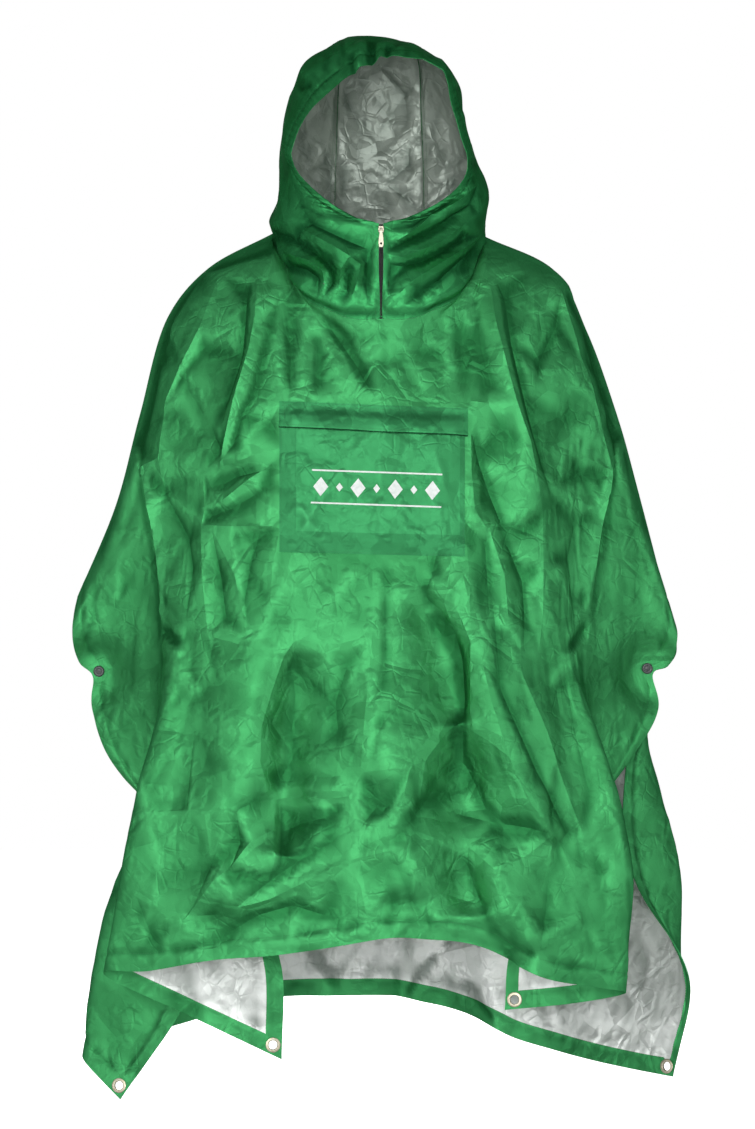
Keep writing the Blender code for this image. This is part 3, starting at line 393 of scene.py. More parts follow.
def lay_facet(field, u, v, corners, heights):
    """Gives a grid's points at u, v inside a triangle the height of its plane."""
    (au, av), (bu, bv), (cu, cv) = corners
    area = (bv - cv) * (au - cu) + (cu - bu) * (av - cv)
    wa = ((bv - cv) * (u - cu) + (cu - bu) * (v - cv)) / area
    wb = ((cv - av) * (u - cu) + (au - cu) * (v - cv)) / area
    wc = 1 - wa - wb
    inside = (wa >= 0) & (wb >= 0) & (wc >= 0)
    field[inside] = (wa * heights[0] + wb * heights[1] + wc * heights[2])[inside]
    return field


def cut_up(points, edges=()):
    """Points of the front view joined into triangles that keep the edges.

    Returns the points, the edges, the triangles and the given points that each
    point comes from: none where two edges cross.
    """
    found = delaunay_2d_cdt([Vector(p[:2]) for p in points], list(edges), [], 0, 0.01)
    return found[:4]


def network(x, z, lines):
    """Flat facets between creases given one by one.

    Each line is a crease: its points as x and z in the front view, and how far
    out it stands there. The facets between the creases are flat.
    """
    places = {}
    edges = set()
    for line in lines:
        for px, pz, out in line:
            places.setdefault((px, pz), (len(places), out))
        for p, q in zip(line, line[1:]):
            a, b = places[p[:2]][0], places[q[:2]][0]
            edges.add((min(a, b), max(a, b)))
    high = [out for _, out in places.values()]
    made, _, faces, origin = cut_up(places, sorted(edges))
    height = []
    for k, near in enumerate(origin):
        if near:
            height.append(high[near[0]])
        else:  # where two creases cross
            far = [math.dist(made[k], p) + 0.1 for p in places]
            height.append(sum(h / f**2 for h, f in zip(high, far)) / sum(1 / f**2 for f in far))
    push = np.zeros_like(x)
    for face in faces:
        corners = [made[k] for k in face]
        (low_x, low_z), (high_x, high_z) = np.min(corners, axis=0), np.max(corners, axis=0)
        box = (x >= low_x) & (x <= high_x) & (z >= low_z) & (z <= high_z)
        push[box] = lay_facet(push[box], x[box], z[box], corners, [height[k] for k in face])
    return push


CRAZING_SHIFT = 0.4  # of the spacing, at most
CRAZING_TALL = 1.2  # a crazed facet's height by its width


def crazed(low, high, spacing, out, seed):
    """Random flat facets over a part of the front view, as crease lines."""
    rng = np.random.default_rng(seed)
    points = [(x + rng.uniform(-CRAZING_SHIFT, CRAZING_SHIFT) * spacing,
               z + rng.uniform(-CRAZING_SHIFT, CRAZING_SHIFT) * spacing,
               rng.uniform(-out, out))
              for x in np.arange(low[0], high[0], spacing)
              for z in np.arange(low[1], high[1], spacing * CRAZING_TALL)]
    _, edges, _, origin = cut_up(points)
    return tuple((points[origin[a][0]], points[origin[b][0]]) for a, b in edges)


def grown(mask, cells):
    """A mask of grid points and their neighbours."""
    for _ in range(cells):
        wide = mask.copy()
        wide[1:] |= mask[:-1]
        wide[:-1] |= mask[1:]
        wide[:, 1:] |= mask[:, :-1]
        wide[:, :-1] |= mask[:, 1:]
        mask = wide
    return mask


CELL = 12  # no cell of a grid is larger
FREE_OF_CREASE = 2  # cells beside a crease that the crazing leaves alone


def drawn_to(points, lines, crazing=()):
    """Moves a grid's points along its own rows and columns onto the creases.

    The crazing takes only points that aren't near a crease. Returns the points
    and which of them lie on a crease.
    """
    x, z = seen(points)
    step = np.full(x.shape + (2,), np.inf)  # along the rows' way, along the columns' way
    taken = np.zeros(x.shape, bool)
    for k, line in enumerate(lines + crazing):
        if k == len(lines):
            taken = grown(np.isfinite(step).any(axis=-1), FREE_OF_CREASE)
        for (ax, az, _), (bx, bz, _) in zip(line, line[1:]):
            near = np.argwhere((x > min(ax, bx) - CELL) & (x < max(ax, bx) + CELL)
                               & (z > min(az, bz) - CELL) & (z < max(az, bz) + CELL))
            if not len(near):
                continue
            (r0, c0), (r1, c1) = near.min(axis=0), near.max(axis=0) + 1
            sx, sz = bx - ax, bz - az
            for axis in (0, 1):
                # Where each of the grid's own edges crosses the crease.
                u, v = (np.moveaxis(f[r0:r1, c0:c1], axis, 0) for f in (x, z))
                du, dv = u[1:] - u[:-1], v[1:] - v[:-1]
                cross = du * sz - dv * sx
                cross = np.where(np.abs(cross) < 1e-9, 1e-9, cross)
                t = ((ax - u[:-1]) * sz - (az - v[:-1]) * sx) / cross
                s = ((ax - u[:-1]) * dv - (az - v[:-1]) * du) / cross
                hit = (t >= 0) & (t < 1) & (s >= 0) & (s <= 1)
                t, hit = (np.moveaxis(f, 0, axis) for f in (t, hit))
                for r, c in np.argwhere(hit):
                    at, way = (r0 + r, c0 + c), t[r, c]
                    if way >= 0.5:  # nearer to the edge's far end
                        at, way = (at[0] + (axis == 0), at[1] + (axis == 1)), way - 1
                    if not taken[at] and abs(way) < np.abs(step[at]).min():
                        step[at] = np.inf
                        step[(*at, axis)] = way
    on = np.isfinite(step).any(axis=-1)
    moved = points.copy()
    for axis in (0, 1):
        ahead = np.diff(points, axis=axis, append=points.take([-1], axis=axis))
        behind = np.diff(points, axis=axis, prepend=points.take([0], axis=axis))
        way = np.where(np.isfinite(step[..., axis]), step[..., axis], 0.0)[..., None]
        moved += np.where(way > 0, ahead, behind) * way
    return moved, on


FACET_SHIFT = 0.42  # of the spacing, at most


def facets(rows, cols, spacing, seed, stretch=1.0):
    """Crumpled cloth: random heights from -1 to 1 at scattered points, flat between them.

    rows and cols are the cloth's own distances along the two ways of a grid.
    """
    rng = np.random.default_rng(seed)
    high = spacing * stretch
    n_col = int((cols[-1] - cols[0]) / spacing) + 4
    n_row = int((rows[-1] - rows[0]) / high) + 4
    i, j = np.meshgrid(np.arange(n_row), np.arange(n_col), indexing="ij")
    u = cols[0] + (j - 1.5 + rng.uniform(-FACET_SHIFT, FACET_SHIFT, i.shape)) * spacing
    v = rows[0] + (i - 1.5 + rng.uniform(-FACET_SHIFT, FACET_SHIFT, i.shape)) * high
    h = rng.uniform(-1, 1, i.shape)
    split = rng.random(i.shape) < 0.5
    field = np.zeros((len(rows), len(cols)))
    for a in range(n_row - 1):
        for b in range(n_col - 1):
            p, q, r, s = (a, b), (a, b + 1), (a + 1, b + 1), (a + 1, b)
            for tri in ((p, q, r), (p, r, s)) if split[a, b] else ((p, q, s), (q, r, s)):
                tu, tv, th = ([g[k] for k in tri] for g in (u, v, h))
                c0, c1 = np.searchsorted(cols, (min(tu), max(tu)))
                r0, r1 = np.searchsorted(rows, (min(tv), max(tv)))
                if c0 == c1 or r0 == r1:
                    continue
                lay_facet(field[r0:r1, c0:c1], *np.meshgrid(cols[c0:c1], rows[r0:r1]),
                          list(zip(tu, tv)), th)
    return field


SHORT_BOW, SHORT_LEAN = 0.12, 0.5  # a short crease's bow by its length, and its lean, at most


def scattered(rows, cols, count, reach, out, width, slant, seed):
    """Short creases at random places, most of them pressed in.

    reach, out and width are ranges of length, height and half width. slant is
    the mean and the spread of their angle to the rows, in degrees.
    """
    rng = np.random.default_rng(seed)
    gu, gv = np.meshgrid(cols, rows)
    field = np.zeros_like(gu)
    for _ in range(count):
        cu, cv = rng.uniform(cols[0], cols[-1]), rng.uniform(rows[0], rows[-1])
        turn = math.radians(rng.normal(*slant))
        length, wide = rng.uniform(*reach), rng.uniform(*width)
        push = rng.uniform(*out) * rng.choice((-1, -1, -1, 1))
        bow = rng.uniform(-SHORT_BOW, SHORT_BOW) * length
        lean = rng.uniform(-SHORT_LEAN, SHORT_LEAN)
        c0, c1 = np.searchsorted(cols, (cu - length, cu + length))
        r0, r1 = np.searchsorted(rows, (cv - length, cv + length))
        du, dv = gu[r0:r1, c0:c1] - cu, gv[r0:r1, c0:c1] - cv
        along = (du * math.cos(turn) + dv * math.sin(turn)) / (length / 2)
        off = dv * math.cos(turn) - du * math.sin(turn) - bow * (1 - along**2)
        field[r0:r1, c0:c1] += push * np.clip(1 - along**2, 0, 1) * beside(off, wide, lean)
    return field


def softened(field, times=1):
    """Blurs a grid of numbers or vectors a little, which rounds its creases."""
    for _ in range(times):
        for axis in (0, 1):
            f = np.moveaxis(field, axis, 0)
            g = f.copy()
            g[1:-1] = (f[:-2] + 2 * f[1:-1] + f[2:]) / 4
            field = np.moveaxis(g, 0, axis)
    return field


CREASE_REACH, CREASE_HEIGHT = 2, 1.1  # cells and millimetres of a crease that shows in full in the painted shade
WIDE_FOLD, WIDE_HEIGHT = 60, 7.0  # passes that blur away a wide fold, and its height, for the painted shade of wide folds


def crease_shade(push):
    """Where the cloth bends out (to 1) and in (to -1), for the colour of its painted shade in the creases and
    painted highlight on the ridges.
    """
    near, n = np.zeros_like(push), CREASE_REACH
    for axis in (0, 1):
        f = np.moveaxis(push, axis, 0)
        g = np.zeros_like(f)
        g[n:-n] = f[n:-n] - (f[: -2 * n] + f[2 * n:]) / 2
        near += np.moveaxis(g, 0, axis)
    wide = push - softened(push, WIDE_FOLD)
    return np.clip(softened(near, 2) / CREASE_HEIGHT + wide / WIDE_HEIGHT, -1, 1)


# ---------------------------------------------------------------- materials

def put(tree, socket, value):
    """Gives a socket a number, a vector or a colour, or links it to another node's."""
    if isinstance(value, bpy.types.NodeSocket):
        tree.links.new(value, socket)
    else:
        socket.default_value = (*value, 1.0) if socket.type == "RGBA" else value


def feed(tree, made, *inputs, **values):
    """Fills a node's inputs, by their order or their names, and its settings."""
    for socket, value in zip(made.inputs, inputs):
        put(tree, socket, value)
    for name, value in values.items():
        socket = made.inputs.get(name.replace("_", " "))
        if socket is None:
            setattr(made, name, value)
        else:
            put(tree, socket, value)
    return made


def node(tree, kind, *inputs, **values):
    """A new node with its inputs and settings filled."""
    return feed(tree, tree.nodes.new(kind), *inputs, **values)


def maths(tree, operation, *inputs):
    """The result of an operation on numbers."""
    return node(tree, "ShaderNodeMath", *inputs, operation=operation).outputs[0]


def vectors(tree, operation, *inputs, **values):
    """The result of an operation on vectors."""
    made = node(tree, "ShaderNodeVectorMath", *inputs, operation=operation, **values)
    return made.outputs["Value" if operation == "DOT_PRODUCT" else "Vector"]


def ramp(tree, value, low, high):
    """0 where a value is low, 1 where it is high, and straight between."""
    return node(tree, "ShaderNodeMapRange", Value=value, From_Min=low, From_Max=high).outputs["Result"]


def noise(tree, place, scale, detail, rough=0.5):
    """Smooth noise, with a number and a colour for each place."""
    return node(tree, "ShaderNodeTexNoise", Vector=place, Scale=scale, Detail=detail, Roughness=rough)


def bump(tree, height, strength, distance, **under):
    """The normal of a height, over another normal if there is one."""
    made = node(tree, "ShaderNodeBump", Height=height, Strength=strength, Distance=distance, **under)
    return made.outputs["Normal"]


def mix_colour(tree, factor, a, b):
    """Colour a where the factor is 0, b where it is 1, and between."""
    made = node(tree, "ShaderNodeMix", data_type="RGBA")
    for k, value in ((0, factor), (6, a), (7, b)):  # its colours' own sockets
        put(tree, made.inputs[k], value)
    return made.outputs[2]


def plain(name):
    """A new material, its tree and its shader."""
    mat = bpy.data.materials.new(name)
    mat.use_nodes = True
    return mat, mat.node_tree, mat.node_tree.nodes["Principled BSDF"]


# Of the nylon, in metres; the scales are by the metre.
WEAVE, THREAD_HIGH = 0.00055, 0.00012  # a thread and its gap, and its height
WEAVE_SCALE = math.pi / (WEAVE * 20)  # of a wave texture
TILTED = ((26.0, 0.9), (62.0, 0.9 * 0.42))  # small facets: scale, and how steep at most
THIN_CREASES = ((16.0, 0.0046), (41.0, 0.0046 * 0.4))  # scale and height
THIN_WIDTH = 0.07  # of a cell, that a thin crease takes
RIPPLES, RIPPLE = 42.0, 0.0016  # scale and height of the soft ripples between them
WANDERS, WANDER = 28.0, 0.007  # scale of the noise that bends them all, and how far
CLOUDS, CLOUD_TONE = 9.0, 0.06  # scale of the cloudy tone, and its share
FLECKS, FLECK_TONE = 140.0, 0.08  # the same of the fine flecks
ROUGH_SWING = 0.06  # how much its roughness changes from fleck to fleck
# Of hard materials.
WORN_ROUGHER, GRAIN_HIGH = 0.16, 0.0004


def crinkles(tree, place):
    """The height of the fine crinkles: tilted facets, thin creases and soft ripples."""
    bends = noise(tree, place, WANDERS, 2.0)
    at = vectors(tree, "ADD", place, vectors(tree, "SCALE", bends.outputs["Color"], Scale=WANDER))
    parts = []
    for scale, steep in TILTED:
        # Each cell is a flat facet with its own random tilt.
        cells = node(tree, "ShaderNodeTexVoronoi", Vector=at, Scale=scale).outputs
        away = vectors(tree, "SUBTRACT", at, cells["Position"])
        tilt = vectors(tree, "SUBTRACT", cells["Color"], (0.5, 0.5, 0.5))
        parts.append(maths(tree, "MULTIPLY", vectors(tree, "DOT_PRODUCT", away, tilt), steep))
    shown = ramp(tree, bends.outputs["Fac"], 0.46, 0.60)
    for scale, high in THIN_CREASES:
        # Some of the cells' edges are thin creases.
        cells = node(tree, "ShaderNodeTexVoronoi", Vector=at, Scale=scale, feature="DISTANCE_TO_EDGE")
        line = maths(tree, "MULTIPLY", ramp(tree, cells.outputs["Distance"], 0.0, THIN_WIDTH), high)
        parts.append(maths(tree, "MULTIPLY", line, shown))
    parts.append(maths(tree, "MULTIPLY", noise(tree, at, RIPPLES, 3.0).outputs["Fac"], RIPPLE))
    height = parts[0]
    for part in parts[1:]:
        height = maths(tree, "ADD", height, part)
    return height


def nylon(name, deep, lit, edge, rough, crinkle, metallic, specular, weave):
    """Coated nylon: `deep` is painted shade in its creases, `lit` a painted highlight on their tops, finely
    crinkled and woven.
    """
    mat, tree, shader = plain(name)
    place = node(tree, "ShaderNodeTexCoord").outputs["Object"]
    cloth = node(tree, "ShaderNodeUVMap", uv_map="cloth").outputs["UV"]
    fold = node(tree, "ShaderNodeAttribute", attribute_name="fold").outputs["Fac"]
    clouds = ramp(tree, noise(tree, place, CLOUDS, 4.0, 0.6).outputs["Fac"], 0.35, 0.65)
    flecks = ramp(tree, noise(tree, place, FLECKS, 3.0, 0.7).outputs["Fac"], 0.3, 0.7)
    # Painted shade and highlight: by the fold attribute the creases take the deep colour and the ridges the
    # lit one; clouds and flecks add tone at random.
    tone = ramp(tree, fold, -1.2, 0.4)
    for marks, share in ((clouds, CLOUD_TONE), (flecks, FLECK_TONE)):
        tone = maths(tree, "ADD", tone, maths(tree, "MULTIPLY", marks, share))
    gloss = maths(tree, "MULTIPLY", flecks, ROUGH_SWING)
    crinkled = bump(tree, crinkles(tree, place), crinkle, 1.0)
    threads = [node(tree, "ShaderNodeTexWave", Vector=cloth, wave_type="BANDS", bands_direction=across,
                    Scale=WEAVE_SCALE, Distortion=0.6, Detail=1.0).outputs["Fac"]
               for across in ("X", "Y")]
    feed(tree, shader, Base_Color=mix_colour(tree, ramp(tree, tone, 0.1, 1.2), deep, lit),
         Roughness=maths(tree, "ADD", gloss, rough - ROUGH_SWING / 2),
         Metallic=metallic, Specular_IOR_Level=specular, Specular_Tint=edge,
         Normal=bump(tree, maths(tree, "MAXIMUM", *threads), weave, THREAD_HIGH, Normal=crinkled))
    return mat


def hard(name, colour, wear_and_crease_shade, rough, metallic, grain, bumpy):
    """Metal, plastic or print with small rubbed marks: `wear_and_crease_shade` is the colour of its rubbed
    places.
    """
    mat, tree, shader = plain(name)
    place = node(tree, "ShaderNodeTexCoord").outputs["Object"]
    marks = ramp(tree, noise(tree, place, grain / 2, 4.0, 0.65).outputs["Fac"], 0.42, 0.68)
    fine = noise(tree, place, grain * 2, 2.0).outputs["Fac"]
    feed(tree, shader, Base_Color=mix_colour(tree, marks, colour, wear_and_crease_shade),
         Roughness=maths(tree, "ADD", maths(tree, "MULTIPLY", marks, WORN_ROUGHER), rough),
         Metallic=metallic, Normal=bump(tree, fine, bumpy, GRAIN_HIGH))
    return mat


GREEN, HOOD_GREEN_SHADED, POCKET_GREEN, DOUBLE_GREEN, FLAP_SHADOW_GREEN, SILVER, HOOD_SILVER_SHADED = (nylon(*row) for row in (
    # name, deep (painted crease shade), lit (painted ridge highlight), edge, roughness, crinkle, metallic,
    # specular, weave
    ("nylon_green", (0.019, 0.158, 0.046), (0.072, 0.415, 0.143), (0.25, 0.5, 0.33),
     0.56, 0.22, 0.82, 0.05, 0.05),
    # Painted shade: the hood's green is the same cloth as the rest, coloured darker for the shade that the
    # hood and collar lie in.
    ("nylon_green_hood_shaded", (0.012, 0.115, 0.034), (0.044, 0.310, 0.100), (0.15, 0.3, 0.2),
     0.50, 0.20, 0.80, 0.05, 0.05),
    ("nylon_green_pocket", (0.024, 0.190, 0.062), (0.052, 0.310, 0.115), (0.22, 0.45, 0.3),
     0.54, 0.20, 0.82, 0.05, 0.05),
    ("nylon_green_double", (0.018, 0.140, 0.046), (0.042, 0.255, 0.094), (0.2, 0.4, 0.26),
     0.54, 0.20, 0.82, 0.05, 0.05),
    # Painted shadow: a near-black green for the shade under the pocket flap's lower edge.
    ("nylon_green_flap_shadow", (0.004, 0.035, 0.012), (0.010, 0.070, 0.024), (0.1, 0.2, 0.13),
     0.60, 0.20, 0.70, 0.05, 0.05),
    ("nylon_silver", (0.27, 0.31, 0.28), (0.97, 1.00, 0.97), (0.6, 0.6, 0.6),
     0.55, 0.40, 0.50, 0.30, 0.08),
    # Painted shade: the hood's inside is the same silver as the rest, coloured darker for the shade in its
    # deep hollow.
    ("nylon_silver_hood_shaded", (0.14, 0.18, 0.15), (0.50, 0.56, 0.50), (0.4, 0.4, 0.4),
     0.54, 0.40, 0.60, 0.30, 0.08),
))
THREAD, BLACK, TAPE, BRASS, PULL, SNAP, PRINT = (hard(*row) for row in (
    # name, colour, wear, roughness, metallic, grain, bump
    ("thread_green", (0.008, 0.11, 0.032), (0.02, 0.20, 0.06), 0.60, 0.0, 900.0, 0.04),
    ("zip_black", (0.006, 0.007, 0.006), (0.03, 0.032, 0.03), 0.42, 0.0, 900.0, 0.04),
    ("zip_tape", (0.008, 0.009, 0.008), (0.02, 0.022, 0.02), 0.80, 0.0, 900.0, 0.3),
    ("eyelet_brass", (0.52, 0.47, 0.33), (0.62, 0.59, 0.50), 0.40, 1.0, 900.0, 0.04),
    ("pull_metal", (0.50, 0.46, 0.35), (0.62, 0.59, 0.50), 0.46, 1.0, 900.0, 0.04),
    ("snap_grey", (0.030, 0.036, 0.036), (0.085, 0.095, 0.095), 0.34, 0.0, 900.0, 0.04),
    ("print_white", (0.80, 0.84, 0.81), (0.66, 0.72, 0.68), 0.50, 0.0, 400.0, 0.1),
))

# ---------------------------------------------------------------- shells

def place_in_scene(name, mesh, mats, nodes=()):
    """Makes a piece of a mesh, in the place of its CAD nodes."""
    for mat in mats:
        mesh.materials.append(mat)
    ob = bpy.data.objects.new(name, mesh)
    bpy.context.scene.collection.objects.link(ob)
    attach(ob, "garment")
    if nodes:
        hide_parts(*nodes)
    return ob


CRISP = 55  # degrees between a sheet's faces


def flat_cloth(cols, rows):
    """Each grid point's place in the flat cloth, from its columns' and rows' own."""
    return np.stack(np.broadcast_arrays(cols, rows), axis=-1)


def shell(name, middle, normals, thick, cloth, fold, inside, mats, nodes=(), keep=None,
          on=None, outside=None):
    """A thin closed sheet over a grid of points, in millimetres.

    thick and fold have a value for each point, cloth its place in the flat
    cloth, inside and outside a material number for each cell's two faces. keep
    says which cells are there, and on which points lie on a crease: a crease
    that runs through a cell cuts it into triangles.
    """
    rows, cols = middle.shape[:2]
    size = rows * cols
    half = (normals * (thick / 2)[..., None]).reshape(-1, 3)
    flat = middle.reshape(-1, 3)
    points = np.concatenate([flat + half, flat - half]) * MM
    keep = np.ones((rows - 1, cols - 1), bool) if keep is None else keep
    on = np.zeros((rows, cols), bool) if on is None else on
    number = np.arange(size).reshape(rows, cols)
    a, b = number[:-1, :-1][keep], number[:-1, 1:][keep]
    d, e = number[1:, :-1][keep], number[1:, 1:][keep]
    quads = np.stack([a, b, e, d], axis=1)
    one = quads[len(quads) // 2]
    facing = np.cross(flat[one[1]] - flat[one[0]], flat[one[3]] - flat[one[0]])
    if facing @ normals.reshape(-1, 3)[one[0]] < 0:
        quads = quads[:, [0, 3, 2, 1]]
    edges = np.concatenate([quads[:, [k, (k + 1) % 4]] for k in range(4)])
    key = edges.min(axis=1) * size + edges.max(axis=1)
    _, first, count = np.unique(key, return_index=True, return_counts=True)
    rim = edges[first[count == 1]]
    rims = np.stack([rim[:, 1], rim[:, 0], rim[:, 0] + size, rim[:, 1] + size], axis=1)
    lies = on.reshape(-1)[quads]
    down, up = lies[:, 0] & lies[:, 2], lies[:, 1] & lies[:, 3]
    cut = down != up
    quads[up & cut] = np.roll(quads[up & cut], -1, axis=1)
    tris = np.concatenate([quads[cut][:, [0, 1, 2]], quads[cut][:, [0, 2, 3]]])
    sides = [np.zeros_like(inside) if outside is None else outside, inside]
    slots = [np.concatenate([m[keep][~cut], m[keep][cut], m[keep][cut]]) for m in sides]
    parts = [quads[~cut], tris, quads[~cut][:, [0, 3, 2, 1]] + size, tris[:, ::-1] + size, rims]
    mesh = bpy.data.meshes.new(name)
    mesh.from_pydata(points.tolist(), [], [f for part in parts for f in part.tolist()])
    slots = np.concatenate([*slots, np.zeros(len(rims))]).astype(np.int32)
    mesh.polygons.foreach_set("material_index", slots)
    where = np.concatenate([cloth.reshape(-1, 2)] * 2) * MM
    corners = np.concatenate([part.reshape(-1) for part in parts])
    layer = mesh.uv_layers.new(name="cloth")
    layer.data.foreach_set("uv", where[corners].astype(np.float32).reshape(-1))
    # Painted shade and highlight: the fold attribute darkens the cloth's colour in its creases and lightens
    # it on its ridges.
    wear_and_crease_shade = mesh.attributes.new("fold", "FLOAT", "POINT")
    bends = fold.reshape(-1)
    wear_and_crease_shade.data.foreach_set("value", np.concatenate([bends, -bends]).astype(np.float32))
    mesh.shade_smooth()
    mesh.set_sharp_from_angle(angle=math.radians(CRISP))
    # A crease is crisp along its own edges.
    ends, sharp = np.empty(len(mesh.edges) * 2, np.int32), np.empty(len(mesh.edges), bool)
    mesh.edges.foreach_get("vertices", ends)
    mesh.edges.foreach_get("use_edge_sharp", sharp)
    sharp |= on.reshape(-1)[ends.reshape(-1, 2) % size].all(axis=1)
    mesh.edges.foreach_set("use_edge_sharp", sharp)
    mesh.update()
    return place_in_scene(name, mesh, mats, nodes)


def solid_mesh(name, points, faces, mats, slot, nodes=(), angle=35):
    """A piece from points in millimetres; angle is the least at a crisp edge."""
    mesh = bpy.data.meshes.new(name)
    mesh.from_pydata((np.asarray(points, float) * MM).tolist(), [], [list(map(int, f)) for f in faces])
    mesh.shade_smooth()
    mesh.set_sharp_from_angle(angle=math.radians(angle))
    mesh.update()
    return place_in_scene(name, mesh, mats, nodes)


def joined(parts):
    """One list of points and faces from several."""
    points, faces, start = [], [], 0
    for grid, part in parts:
        points.append(np.asarray(grid, float))
        faces += [tuple(i + start for i in f) for f in part]
        start += len(grid)
    return np.concatenate(points), faces


STITCH = 2.6  # its length
PITCH = 3.4  # from stitch to stitch
THREAD_HALF = (0.22, 0.16)  # half its width and height
THREAD_LIFT = 0.05  # its rows lie this far over the cloth's face
STITCH_RINGS = ((0.55, -0.6), (1.0, 1.0), (0.55, -0.6))  # width and lift: its ends sink in
STITCH_CORNERS = ((-1, -0.6), (1, -0.6), (0.7, 0.6), (-0.7, 0.6))  # of each ring: across and up


def stitches(face, normals):
    """Points and faces of a row of stitches along a path on the cloth's face."""
    path, normals = np.asarray(face + normals * THREAD_LIFT, float), np.asarray(normals, float)
    run = length_along(path)
    starts = np.arange(PITCH / 2, run[-1] - STITCH, PITCH)
    at = np.stack([starts, starts + STITCH / 2, starts + STITCH])
    line = np.stack([np.interp(at, run, path[:, k]) for k in range(3)], axis=-1)
    up = unit(np.stack([np.interp(at, run, normals[:, k]) for k in range(3)], axis=-1))
    way = unit(line[2] - line[0])
    side = unit(np.cross(up, way[None]))
    points, faces = [], []
    wide, high = THREAD_HALF
    for k, (grow, lift) in enumerate(STITCH_RINGS):
        ring = [line[k] + side[k] * wide * grow * s + up[k] * (high * lift + high * t)
                for s, t in STITCH_CORNERS]
        points.append(np.stack(ring, axis=1))
    grid = np.concatenate(points, axis=1).reshape(-1, 3)
    for base in range(0, len(grid), 12):  # three rings of four points
        for k in (base, base + 4):
            for i in range(4):
                j = (i + 1) % 4
                faces.append((k + i, k + j, k + 4 + j, k + 4 + i))
        faces.append((base + 3, base + 2, base + 1, base))
        faces.append((base + 8, base + 9, base + 10, base + 11))
    return grid, faces


def sewn(name, rows):
    """One piece from several rows of stitches."""
    solid_mesh(name, *joined(rows), [THREAD], "green_nylon")


# ---------------------------------------------------------------- front, back

def disc_frame(name):
    """A round CAD node's centre, in millimetres, and its axis."""
    points = np.array([v.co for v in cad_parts[name].data.vertices], float) / MM
    low, high = points.min(axis=0), points.max(axis=0)
    centre = (low + high) / 2
    _, _, ways = np.linalg.svd(points - points.mean(axis=0))
    axis = ways[2] * (1 if ways[2][1] < 0 else -1)
    return centre, axis


def spread(*spans):
    """Even stations through spans of (start, end, cells), on both sides of the centre."""
    side = np.concatenate([[0.0]] + [np.linspace(a, b, n + 1)[1:] for a, b, n in spans])
    return np.concatenate([-side[:0:-1], side])


HEM_ROWS, HEM_COLS = 8, 8  # cells over the hem's and a side edge's turn
PANEL_ROWS = 163  # over the rest
ACROSS = spread((0, LINES["neck"], 30), (LINES["neck"], LINES["fold"], 68),
                (LINES["fold"], HALF_WIDTH - HEM, 36), (HALF_WIDTH - HEM, HALF_WIDTH, HEM_COLS))
DENSE = 420  # levels that a panel is first worked out at
SNAP_STUDS = ("snap_stud_right", "snap_stud_left")
SNAP_LEVEL = 0.35  # of the snaps on the side edges
SNAP_PINCH, SNAP_APART = 46.0, 3.0  # how far round a snap the panels draw together, and to what
SNAP_EDGE = (545, 590)  # cloth distances over which that fades in
EYELET_FLAT = 48.0  # round an eyelet the hem corner is flat
FLAT_ENDS, FLAT_FADE = 1.7, 0.8  # times it: no longer at all, and over what distance that fades
TOP_APART = 0.6 * GAP  # from the middle plane to the top edge of each panel
CLOTH_HOLE = 7.9  # radius of the cloth's hole at an eyelet
BODY = (0, 0, -500)  # a place inside the garment
SEAM_FADE, EYELET_FADE, SNAP_FADE = (0, 26), (11, 34), (9, 30)  # creases grow over these distances
CREASE_FROM_TOP, CREASE_FROM_HEM = 14, HEM + 8  # no point nearer moves onto a crease
HEM_GROOVE, GROOVE_WIDE = 1.2, 3  # the hem's stitches press it in
PUCKER, PUCKER_WIDE = 0.9, 9  # and draw it up beside them
HEM_THICKER = 0.5


def pinch_at_snap(points, place, facing):
    """Draws the panel to the other one round the snap on its side edge."""
    far = np.hypot(points[:, :, 0] - place[0], points[:, :, 2] - place[2])
    weight = np.exp(-((far / SNAP_PINCH) ** 4)) * smooth(*SNAP_EDGE, np.abs(ACROSS))[None, :]
    points = points.copy()
    points[:, :, 1] += (facing * SNAP_APART - points[:, :, 1]) * weight
    return points


def flatten_corner(points, centre, axis):
    """Brings a hem corner into its eyelet's plane."""
    far = np.linalg.norm(points - centre, axis=2)
    above = (points - centre) @ axis
    weight = np.clip((EYELET_FLAT * FLAT_ENDS - far) / (EYELET_FLAT * FLAT_FADE), 0, 1)
    return points - (above * weight)[:, :, None] * axis


def along_cloth(points):
    """Cuts each column afresh: even rows, then HEM_ROWS rows over the hem's turn."""
    run = far_from_edge(points, 0)
    made = np.empty((PANEL_ROWS + HEM_ROWS, points.shape[1], 3))
    arcs = np.empty(made.shape[:2])
    for c in range(points.shape[1]):
        total = run[-1, c]
        arcs[:, c] = np.concatenate([
            np.linspace(0, total - HEM, PANEL_ROWS),
            total - HEM + HEM * np.arange(1, HEM_ROWS + 1) / HEM_ROWS])
        for k in range(3):
            made[:, c, k] = np.interp(arcs[:, c], run[:, c], points[:, c, k])
    return made, arcs


def far_from(points, name):
    """How far each point is from a round CAD node."""
    return np.linalg.norm(points - disc_frame(name)[0], axis=2)


